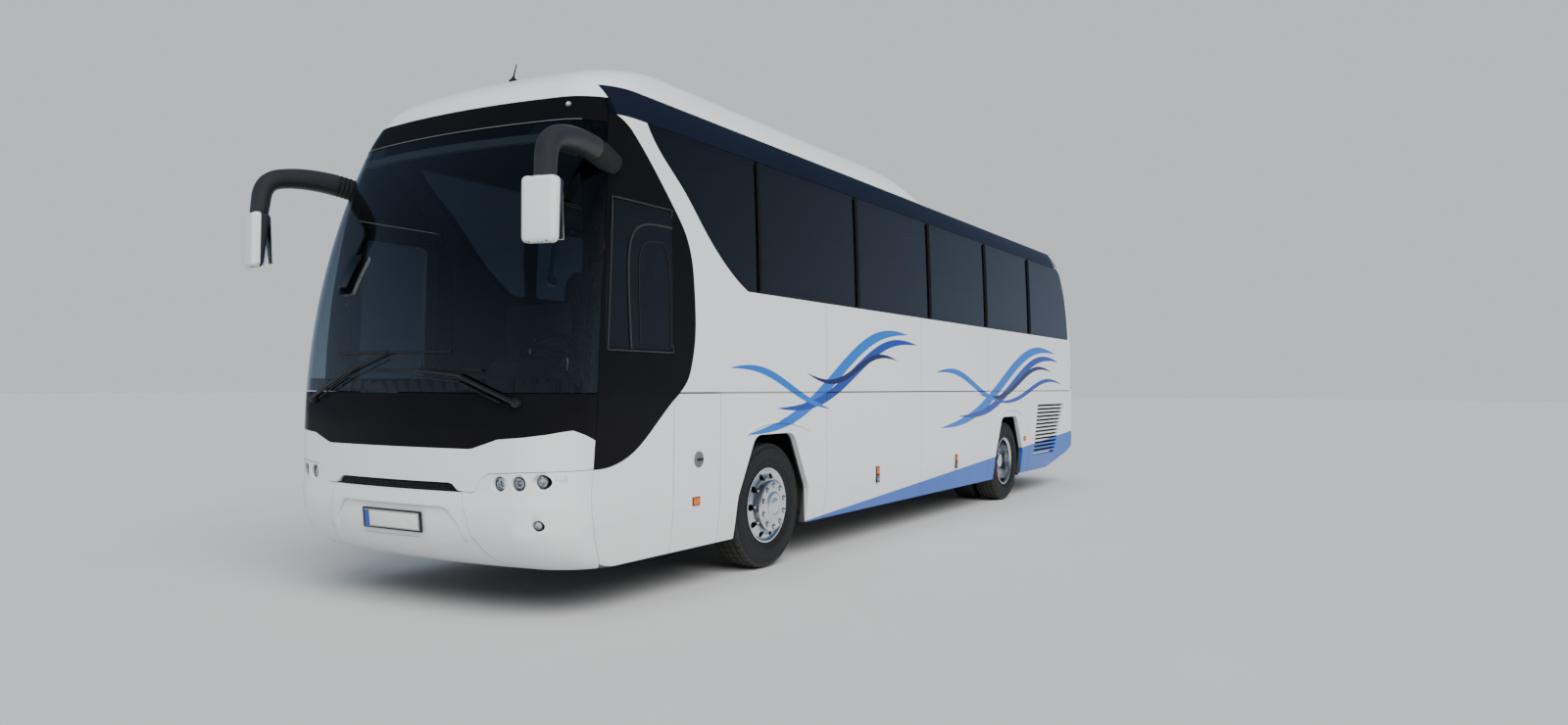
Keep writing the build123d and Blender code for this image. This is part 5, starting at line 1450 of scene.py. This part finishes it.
# %% [markdown]
# The driver's seat has thicker pads with bolsters, a head pad on two rods and a folded rubber bellows over its
# air spring. It stands behind the steering wheel on the low cab floor.

# %% Driver's seat
DRIVER_X = 0.62
CAB_FLOOR = 0.95
SEAT_FOOT = at(DRIVER_X, NOSE_Y, CAB_FLOOR)
bm = bmesh.new()
cushion = sew(sew(blown_pad((0.47, 0.45, 0.105), 11, 0.012), 0, -0.14, 0.008, 2, 1), 0, 0.14, 0.008, 2, 1)
add_part(bm, cushion, [SEAT_FOOT @ at(0, 1.355, 0.428) @ tilt(-4, "X")])
backrest = sew(sew(blown_pad((0.47, 0.105, 0.64), 11, 0.014), 0, -0.14, 0.008, 1, -1), 2, -0.05, 0.007, 1, -1)
DRIVER_LEAN = at(0, 1.59, 0.44) @ tilt(-8, "X")
add_part(bm, backrest, [SEAT_FOOT @ DRIVER_LEAN @ at(0, 0.04, 0.34)])
add_part(bm, blown_pad((0.255, 0.085, 0.18), 7, 0.01), [SEAT_FOOT @ DRIVER_LEAN @ at(0, 0.02, 0.79)])
driver_pads = finish_piece("driver_pads", bm, [seat_cloth], "coach_body", ["driver_seat"], 50)
bm = bmesh.new()
folds = [(0.0, 0.02), (0.15, 0.02)]
for number in range(6):
    folds += [(0.158, 0.045 + number * 0.045), (0.128, 0.067 + number * 0.045)]
folds += [(0.158, 0.315), (0.15, 0.335), (0.0, 0.335)]
add_part(bm, turned(folds, 32), [SEAT_FOOT @ at(0, 1.37, 0.0)], 1)
add_part(bm, block((0.4, 0.42, 0.04), 0.012), [SEAT_FOOT @ at(0, 1.37, 0.355)], 0)
add_part(bm, block((0.36, 0.42, 0.03), 0.008), [SEAT_FOOT @ at(0, 1.37, 0.016)], 0)
add_part(bm, block((0.44, 0.02, 0.6), 0.009, 3), [SEAT_FOOT @ DRIVER_LEAN @ at(0, 0.098, 0.33)], 0)
for shift in (-0.262, 0.262):
    arm = SEAT_FOOT @ at(shift, 1.48, 0.64)
    add_part(bm, block((0.05, 0.32, 0.042), 0.017, 3), [arm], 0)
for shift in (-0.055, 0.055):
    rod = tube([(shift, 0.03, 0.64), (shift, 0.026, 0.73)], 0.0065, 10)
    add_part(bm, rod, [SEAT_FOOT @ DRIVER_LEAN], 2)
finish_piece("driver_seat_frame", bm, [black_plastic, rubber, chrome], "coach_body")
print("driver's seat ready")

# %% [markdown]
# Inside, racks run along both sides over the seats, with a rounded front, a lamp strip and a service panel
# over each pair of seats. A cloth ceiling closes the middle, and rails stand beside the stairs.

# %% Cabin fittings
RACK_RUN = (2.25, 11.0)
RACK_LINE = (
    (0.62, 2.94), (0.66, 2.9), (0.8, 2.885), (1.085, 2.885), (1.085, 2.91), (0.82, 2.91), (0.7, 2.94),
    (0.66, 3.02), (0.64, 3.05), (0.61, 3.04), (0.605, 2.99),
)
READING_LAMP_LINE = ((0.0, -0.02), (0.018, -0.02), (0.024, -0.014), (0.024, 0.0), (0.0, 0.0))
AIR_VENT_LINE = ((0.0, -0.018), (0.012, -0.018), (0.012, -0.012), (0.026, -0.012), (0.028, 0.0), (0.0, 0.0))


def long_profile(outline, start, end, side, bevel=0.004):
    """Raises an outline of X and height along the coach, from one distance behind the nose to another."""
    part = sheet_plate(outline, end - start)
    soften(part, bevel, 2, [edge for edge in part.edges if edge.calc_length() < 0.5])
    stand = Matrix((Vector((1, 0, 0)), Vector((0, 0, 1)), Vector((0, -1, 0)))).transposed().to_4x4()
    part.transform(at(0, NOSE_Y + end, 0) @ stand)
    if side < 0:
        part.transform(Matrix.Diagonal((-1.0, 1.0, 1.0, 1.0)))
    bmesh.ops.recalc_face_normals(part, faces=part.faces)
    return part


bm = bmesh.new()
for side in SIDE_NAMES:
    add_part(bm, long_profile(RACK_LINE, *RACK_RUN, side), finish=0)
    units = [
        at(side * 0.86, NOSE_Y + FIRST_ROW + 0.3 + row * SEAT_PITCH, 2.88) for row in range(SEAT_ROWS - 1)
    ]
    add_part(bm, block((0.3, 0.36, 0.022), 0.008, 2), units, 1)
    for shift in (-0.08, 0.08):
        add_part(bm, turned(READING_LAMP_LINE, 20), [place @ at(shift, -0.06, 0) for place in units], 2)
        add_part(bm, turned(AIR_VENT_LINE, 20), [place @ at(shift, 0.08, 0) for place in units], 1)
    strip = tube([(side * 0.6, NOSE_Y + along, 3.066) for along in RACK_RUN], 0.012, 10)
    add_part(bm, strip, finish=2)
finish_piece("luggage_racks", bm, [ceiling_cloth, grey_plastic, clear_lens], "coach_body")
CEILING_LINE = (
    (-0.6, 3.1), (-0.45, 3.28), (-0.25, 3.34), (0.25, 3.34), (0.45, 3.28), (0.6, 3.1), (0.6, 3.115),
    (0.455, 3.295), (0.255, 3.355), (-0.255, 3.355), (-0.455, 3.295), (-0.6, 3.115),
)
bm = bmesh.new()
add_part(bm, long_profile(CEILING_LINE, *RACK_RUN, 1, 0.003))
finish_piece("ceiling", bm, [ceiling_cloth], "coach_body")
# The hand rail beside the front stairs: X, distance behind the nose and height.
RAIL_LINE = (
    (-0.3, 1.55, 0.96), (-0.3, 1.55, 1.75), (-0.3, 1.6, 1.85), (-0.32, 1.95, 1.9), (-0.34, 2.06, 1.9),
    (-0.34, 2.07, 1.46),
)
bm = bmesh.new()
rail = rounded_path(RAIL_LINE, 3)
add_part(bm, tube([(x, NOSE_Y + along, z) for x, along, z in rail], 0.016, 12))
for height in (1.3, 1.62):
    add_part(bm, tube([(-0.3, NOSE_Y + 1.55, height), (-0.34, NOSE_Y + 2.05, height + 0.2)], 0.011, 10))
screens = [at(side * 0.72, NOSE_Y + 2.1, 1.86) for side in (-1, 1)]
add_part(bm, block((0.78, 0.026, 0.62), 0.01, 3), screens, 1)
finish_piece("cab_rails", bm, [chrome, grey_plastic], "coach_body")
print("racks run", round(RACK_RUN[1] - RACK_RUN[0], 2), "m")

# %% [markdown]
# The driver looks at a hooded panel with dark dials, with air vents beside it and a small screen towards the
# middle. A pale pelmet with a row of dark dashes hangs behind the top of the windscreen.

# %% Cab fittings
BLIND_HEIGHT = 3.135
BLIND_DASHES = 44
LEVER_PLACE = (0.3, NOSE_Y + 0.86)
HOOD_LINE = ((-0.26, 0.0), (0.26, 0.0), (0.245, 0.105), (0.2, 0.135), (-0.2, 0.135), (-0.245, 0.105))
DIAL_LINE = ((0.0, 0.0), (0.036, 0.0), (0.036, 0.006), (0.031, 0.006), (0.031, 0.002), (0.0, 0.002))
DASH_VENT_LINE = (
    (0.0, 0.0), (0.04, 0.0), (0.044, 0.006), (0.04, 0.012), (0.034, 0.008), (0.012, 0.008), (0.0, 0.01),
)
bm = bmesh.new()
add_part(bm, sheet_plate(HOOD_LINE, 0.16, 0.012), [at(DRIVER_X, NOSE_Y + 0.62, 1.485) @ tilt(75, "X")], 0)
dial_face = at(DRIVER_X, NOSE_Y + 0.652, 1.545) @ tilt(-75, "X")
add_part(bm, block((0.42, 0.09, 0.006), 0.002), [dial_face], 1)
dials = [dial_face @ at(x, 0, 0.002) for x in (-0.13, -0.045, 0.045, 0.13)]
add_part(bm, turned(DIAL_LINE, 28), dials, 2)
add_part(bm, turned(DASH_VENT_LINE, 28), [at(x, NOSE_Y + 0.46, 1.502) for x in (0.2, 1.02, -0.05)], 0)
monitor = at(0.22, NOSE_Y + 0.6, 1.6) @ tilt(70, "X") @ Matrix.Rotation(0.3, 4, "Y")
add_part(bm, block((0.24, 0.15, 0.03), 0.01, 3), [monitor], 0)
add_part(bm, block((0.21, 0.122, 0.004), 0.0015), [monitor @ at(0, 0, 0.016)], 1)
add_part(bm, tube([(0.22, NOSE_Y + 0.6, 1.49), (0.22, NOSE_Y + 0.595, 1.56)], [0.022, 0.014], 12))
lever = tube([(*LEVER_PLACE, 1.05), (*LEVER_PLACE, 1.24)], [0.012, 0.009], 10)
add_part(bm, lever, finish=2)
add_part(bm, block((0.16, 0.32, 0.1), 0.02, 3), [at(*LEVER_PLACE, 1.0)])
knob = turned(((0.0, 0.0), (0.018, 0.004), (0.024, 0.02), (0.018, 0.036), (0.0, 0.042)), 20)
add_part(bm, knob, [at(*LEVER_PLACE, 1.235)], 0)
finish_piece("cab_controls", bm, [dash_plastic, black_paint, chrome], "coach_body")
bm = bmesh.new()
add_part(bm, bowed_sheet(BLIND_HEIGHT - 0.05, BLIND_HEIGHT + 0.045, 1.02, -0.021), finish=0)
add_part(bm, bowed_bar(BLIND_HEIGHT - 0.054, 1.02, 0.007, -0.024, 40), finish=1)
for number in range(BLIND_DASHES):
    x = 2.0 * (number + 0.5) / BLIND_DASHES - 1.0
    add_part(bm, block((0.024, 0.007, 0.003), 0.001, 1), [on_front(x, BLIND_HEIGHT + 0.018, -0.0165)], 2)
finish_piece("sun_blind", bm, [blind_cloth, grey_plastic, rubber], "coach_body")
print("cab fittings ready")

# %% [markdown]
# The rear has upright lamp clusters in dark frames, reflectors, high lamps, and on the engine cover a handle
# and two fields of louvres side by side. What sits on the cover rides on the cover.

# %% Rear fittings
LOUVRE_ROWS = 9
LOUVRE_FOOT = 0.98
LOUVRE_PITCH = 0.038
GRIP_HEIGHT = 0.9
bm = bmesh.new()
for row in range(LOUVRE_ROWS):
    height = LOUVRE_FOOT + row * LOUVRE_PITCH
    for x in (-0.57, 0.57):
        slat = on_back(x, height, 0.0) @ tilt(-5, "X")
        add_part(bm, block((0.48, 0.021, 0.004), 0.0018), [slat], 0)
add_part(bm, block((0.26, 0.05, 0.01), 0.004, 3), [on_back(0.0, GRIP_HEIGHT, -0.004)], 0)
grip = [on_back(x, GRIP_HEIGHT, -0.004).translation for x in (-0.1, -0.05, 0.0, 0.05, 0.1)]
add_part(bm, tube(grip, [0.003, 0.005, 0.005, 0.005, 0.003], 10), finish=0)
for x in (-0.92, 0.92):
    hinge = tube([on_back(x, height, 0.004).translation for height in (1.9, 1.94, 1.98)], 0.008, 10)
    add_part(bm, hinge, finish=0)
finish_piece("cover_fittings", bm, [black_plastic], "engine_cover_body")
bm = bmesh.new()
FRAME_LINE = ((-0.046, -0.334), (0.046, -0.334), (0.046, 0.334), (-0.046, 0.334))
for side in SIDE_NAMES:
    corners = [(side * 1.125 + x, 1.33 + z) for x, z in FRAME_LINE]
    loop = rounded_path([(x, 0, z) for x, z in corners + [corners[0]]], 2)
    add_part(bm, tube([on_back(point.x, point.z, 0.001).translation for point in loop], 0.005, 8), finish=0)
    add_part(bm, block((0.11, 0.045, 0.01), 0.004, 3), [on_back(side * 0.98, 0.66, 0.001)], 1)
    add_part(bm, block((0.09, 0.03, 0.012), 0.005, 3), [on_back(side * 0.98, 3.15, 0.001)], 1)
    reversing = turned(((0.0, 0.0), (0.026, 0.0), (0.024, 0.008), (0.0, 0.012)), 24)
    add_part(bm, reversing, [on_back(side * 0.8, 0.66)], 2)
add_part(bm, block((0.3, 0.024, 0.012), 0.005, 3), [on_back(0.0, 3.15, 0.001)], 1)
for x in (-0.1, 0.1):
    add_part(bm, block((0.06, 0.022, 0.016), 0.006, 3), [on_back(x, 0.738, -0.006)], 2)
finish_piece("rear_fittings", bm, [black_plastic, red_lens, clear_lens], "coach_body")
print("rear fittings ready")

# %% [markdown]
# Last come the doors' handles and the rubber lips along their edges, the mudflaps behind the wheels, a small
# lamp on the visor, a radio mast on the roof, pale reflectors at the rear corners, and the black strips that
# cover the joints between the side panes.

# %% Doors and small outside pieces
VISOR_LAMP = (0.93, 3.335)
MAST_ALONG = 1.05
MAST_TOP = 3.87
REFLECTOR_PLACE = (11.855, 1.61)
PANE_JOINTS = (2.5, 4.27, 6.06, 7.9, 9.7)
JOINT_RUN = (2.232, 3.266)
# Each door: its front edge at the foot and at the head, its rear edge, its foot, its head and its handle.
DOOR_EDGES = {
    "front": (0.665, 0.765, 1.421, 0.36, 2.7, 1.325),
    "middle": (6.205, 6.205, 7.041, 0.36, 2.135, 6.305),
}
# The handle's height and how far it stands off the door.
HANDLE_LINE = ((0.755, 0.006), (0.77, 0.02), (0.83, 0.02), (0.845, 0.006))
for name, (low_start, high_start, end, low, high, grip) in DOOR_EDGES.items():
    bm = bmesh.new()
    loop = [(low_start, low), (end, low), (end, high), (high_start, high), (low_start, low)]
    add_part(bm, tube(side_route(loop, -1, 0.001), 0.004, 6))
    add_part(bm, block((0.06, 0.13, 0.012), 0.006, 3), [on_side(-1, grip, 0.8, 0.002)])
    bar = [on_side(-1, grip, height, lift).translation for height, lift in HANDLE_LINE]
    add_part(bm, tube(bar, 0.006, 10), finish=1)
    finish_piece(f"{name}_door_trim", bm, [rubber, chrome], f"{name}_door_body")
bm = bmesh.new()
for side in SIDE_NAMES:
    flap = at(side * 0.985, HUB["rear"].y + 0.582, 0.415)
    add_part(bm, block((0.44, 0.01, 0.27), 0.004, 2), [flap], 0)
    add_part(bm, block((0.45, 0.016, 0.03), 0.005, 2), [flap @ at(0, 0.004, 0.13)], 1)
finish_piece("mudflaps", bm, [rubber, chassis_steel], "coach_body")
bm = bmesh.new()
rim = turned(((0.0, 0.0), (0.02, 0.0), (0.02, 0.006), (0.012, 0.01), (0.0, 0.011)), 24)
add_part(bm, rim, [on_front(*VISOR_LAMP)], 0)
dome = turned(((0.0, 0.0), (0.012, 0.0), (0.01, 0.004), (0.0, 0.006)), 20)
add_part(bm, dome, [on_front(*VISOR_LAMP, 0.011)], 1)
add_part(bm, bowed_bar(3.222, 1.05, 0.0035, 0.001, 40), finish=0)
finish_piece("visor_lamp", bm, [grey_plastic, clear_lens], "coach_body")
bm = bmesh.new()
roof = skin_of("roof_fairing", "roof_shell")
foot = roof.ray_cast(Vector((0, NOSE_Y + MAST_ALONG, 6.0)), Vector((0, 0, -1)))[0]
base = turned(((0.0, 0.0), (0.034, 0.0), (0.032, 0.01), (0.016, 0.022), (0.009, 0.036), (0.0, 0.038)), 28)
add_part(bm, base, [Matrix.Translation(foot)])
rise = MAST_TOP - foot.z - 0.03
whip = [foot + Vector((0, 0.03 * share, 0.03 + rise * share)) for share in (0.0, 0.3, 0.6, 0.9, 1.0)]
add_part(bm, tube(whip, [0.007, 0.0055, 0.0045, 0.004, 0.003], 10))
finish_piece("roof_mast", bm, [rubber], "coach_body")
bm = bmesh.new()
for side in SIDE_NAMES:
    corner = on_side(side, *REFLECTOR_PLACE)
    add_part(bm, block((0.05, 0.27, 0.008), 0.003), [corner], 0)
    add_part(bm, block((0.038, 0.256, 0.014), 0.005, 3), [corner], 1)
finish_piece("rear_corner_reflectors", bm, [grey_plastic, clear_lens], "coach_body")
bm = bmesh.new()
for side in SIDE_NAMES:
    for along in PANE_JOINTS:
        heights = [JOINT_RUN[0] + (JOINT_RUN[1] - JOINT_RUN[0]) * step / 14 for step in range(15)]
        spots = [on_side(side, along + 0.012, height, 0.0005).translation for height in heights]
        for spot in spots:
            spot.y = NOSE_Y + along
        add_part(bm, tube(spots, (0.0022, 0.026), 12))
        middle = [spot + Vector((side * 0.0015, 0, 0)) for spot in spots]
        add_part(bm, tube(middle, (0.0022, 0.005), 8), finish=1)
finish_piece("pane_joints", bm, [rubber, grey_rubber], "coach_body")
print("last fittings ready, with", 2 * len(PANE_JOINTS), "pane joints")

# %% [markdown]
# The studio is a pale floor that runs out of sight and a pale, even sky, so the white body still shows its
# edges. One broad sun shines from the camera's side. It is a sun, not a lamp, so the floor is lit evenly to the
# horizon, and it is kept out of reflections, so that no bright disc shows in the glass.

# %% Floor and light
FLOOR_HALF = 150.0
FLOOR_COLOURS = ((0.58, 0.58, 0.57, 1), (0.63, 0.63, 0.62, 1))
SUN_WAY = Vector((0.6, -0.42, 0.68))
SUN_POWER = 3.7
SUN_ANGLE = math.radians(50)
SKY_LIGHT = ((0.66, 0.69, 0.72, 1), (0.52, 0.6, 0.7, 1))
SKY_REFLECTED = ((0.4, 0.5, 0.66, 1), (0.1, 0.14, 0.21, 1))
BACKDROP = (0.74, 0.76, 0.78, 1)


def make_floor():
    """A pale floor with the faintest mottling."""
    material, tree, shader, place = start_material("studio_floor")
    finish_shader(tree, shader, mix_colour(tree, noise(tree, place, 0.8, 4.0), *FLOOR_COLOURS), 0.85)
    mesh = bpy.data.meshes.new("studio_floor")
    bm = bmesh.new()
    bmesh.ops.create_grid(bm, x_segments=1, y_segments=1, size=FLOOR_HALF)
    bm.to_mesh(mesh)
    bm.free()
    mesh.materials.append(material)
    floor = bpy.data.objects.new("studio_floor", mesh)
    bpy.context.scene.collection.objects.link(floor)


def add_sun():
    """Adds a broad sun that shines from its way onto the coach."""
    data = bpy.data.lights.new("sun", "SUN")
    data.energy = SUN_POWER
    data.angle = SUN_ANGLE
    data.color = (1.0, 0.975, 0.94)
    sun = bpy.data.objects.new("sun", data)
    sun.visible_glossy = False
    sun.visible_transmission = False
    sun.rotation_mode = "QUATERNION"
    sun.rotation_quaternion = SUN_WAY.to_track_quat("Z", "Y")
    bpy.context.scene.collection.objects.link(sun)


def make_sky():
    """An even sky. Gloss sees a deeper one than cloth does, and the camera sees a pale backdrop."""
    world = bpy.data.worlds.new("studio_sky")
    bpy.context.scene.world = world
    world.use_nodes = True
    tree = world.node_tree
    place = add_node(tree, "ShaderNodeTexCoord").outputs["Generated"]
    up = calc(tree, "MULTIPLY", axes_of(tree, place)[2], 2.2, clamp=True)
    rays = add_node(tree, "ShaderNodeLightPath").outputs
    light = mix_colour(tree, up, *SKY_LIGHT)
    gloss = mix_colour(tree, up, *SKY_REFLECTED)
    colour = mix_colour(tree, rays["Is Glossy Ray"], light, gloss)
    colour = mix_colour(tree, rays["Is Camera Ray"], colour, BACKDROP)
    tree.links.new(colour, tree.nodes["Background"].inputs["Color"])
    tree.nodes["Background"].inputs["Strength"].default_value = 0.9


make_floor()
make_sky()
add_sun()
print("floor, sky and", len(bpy.data.lights), "sun")
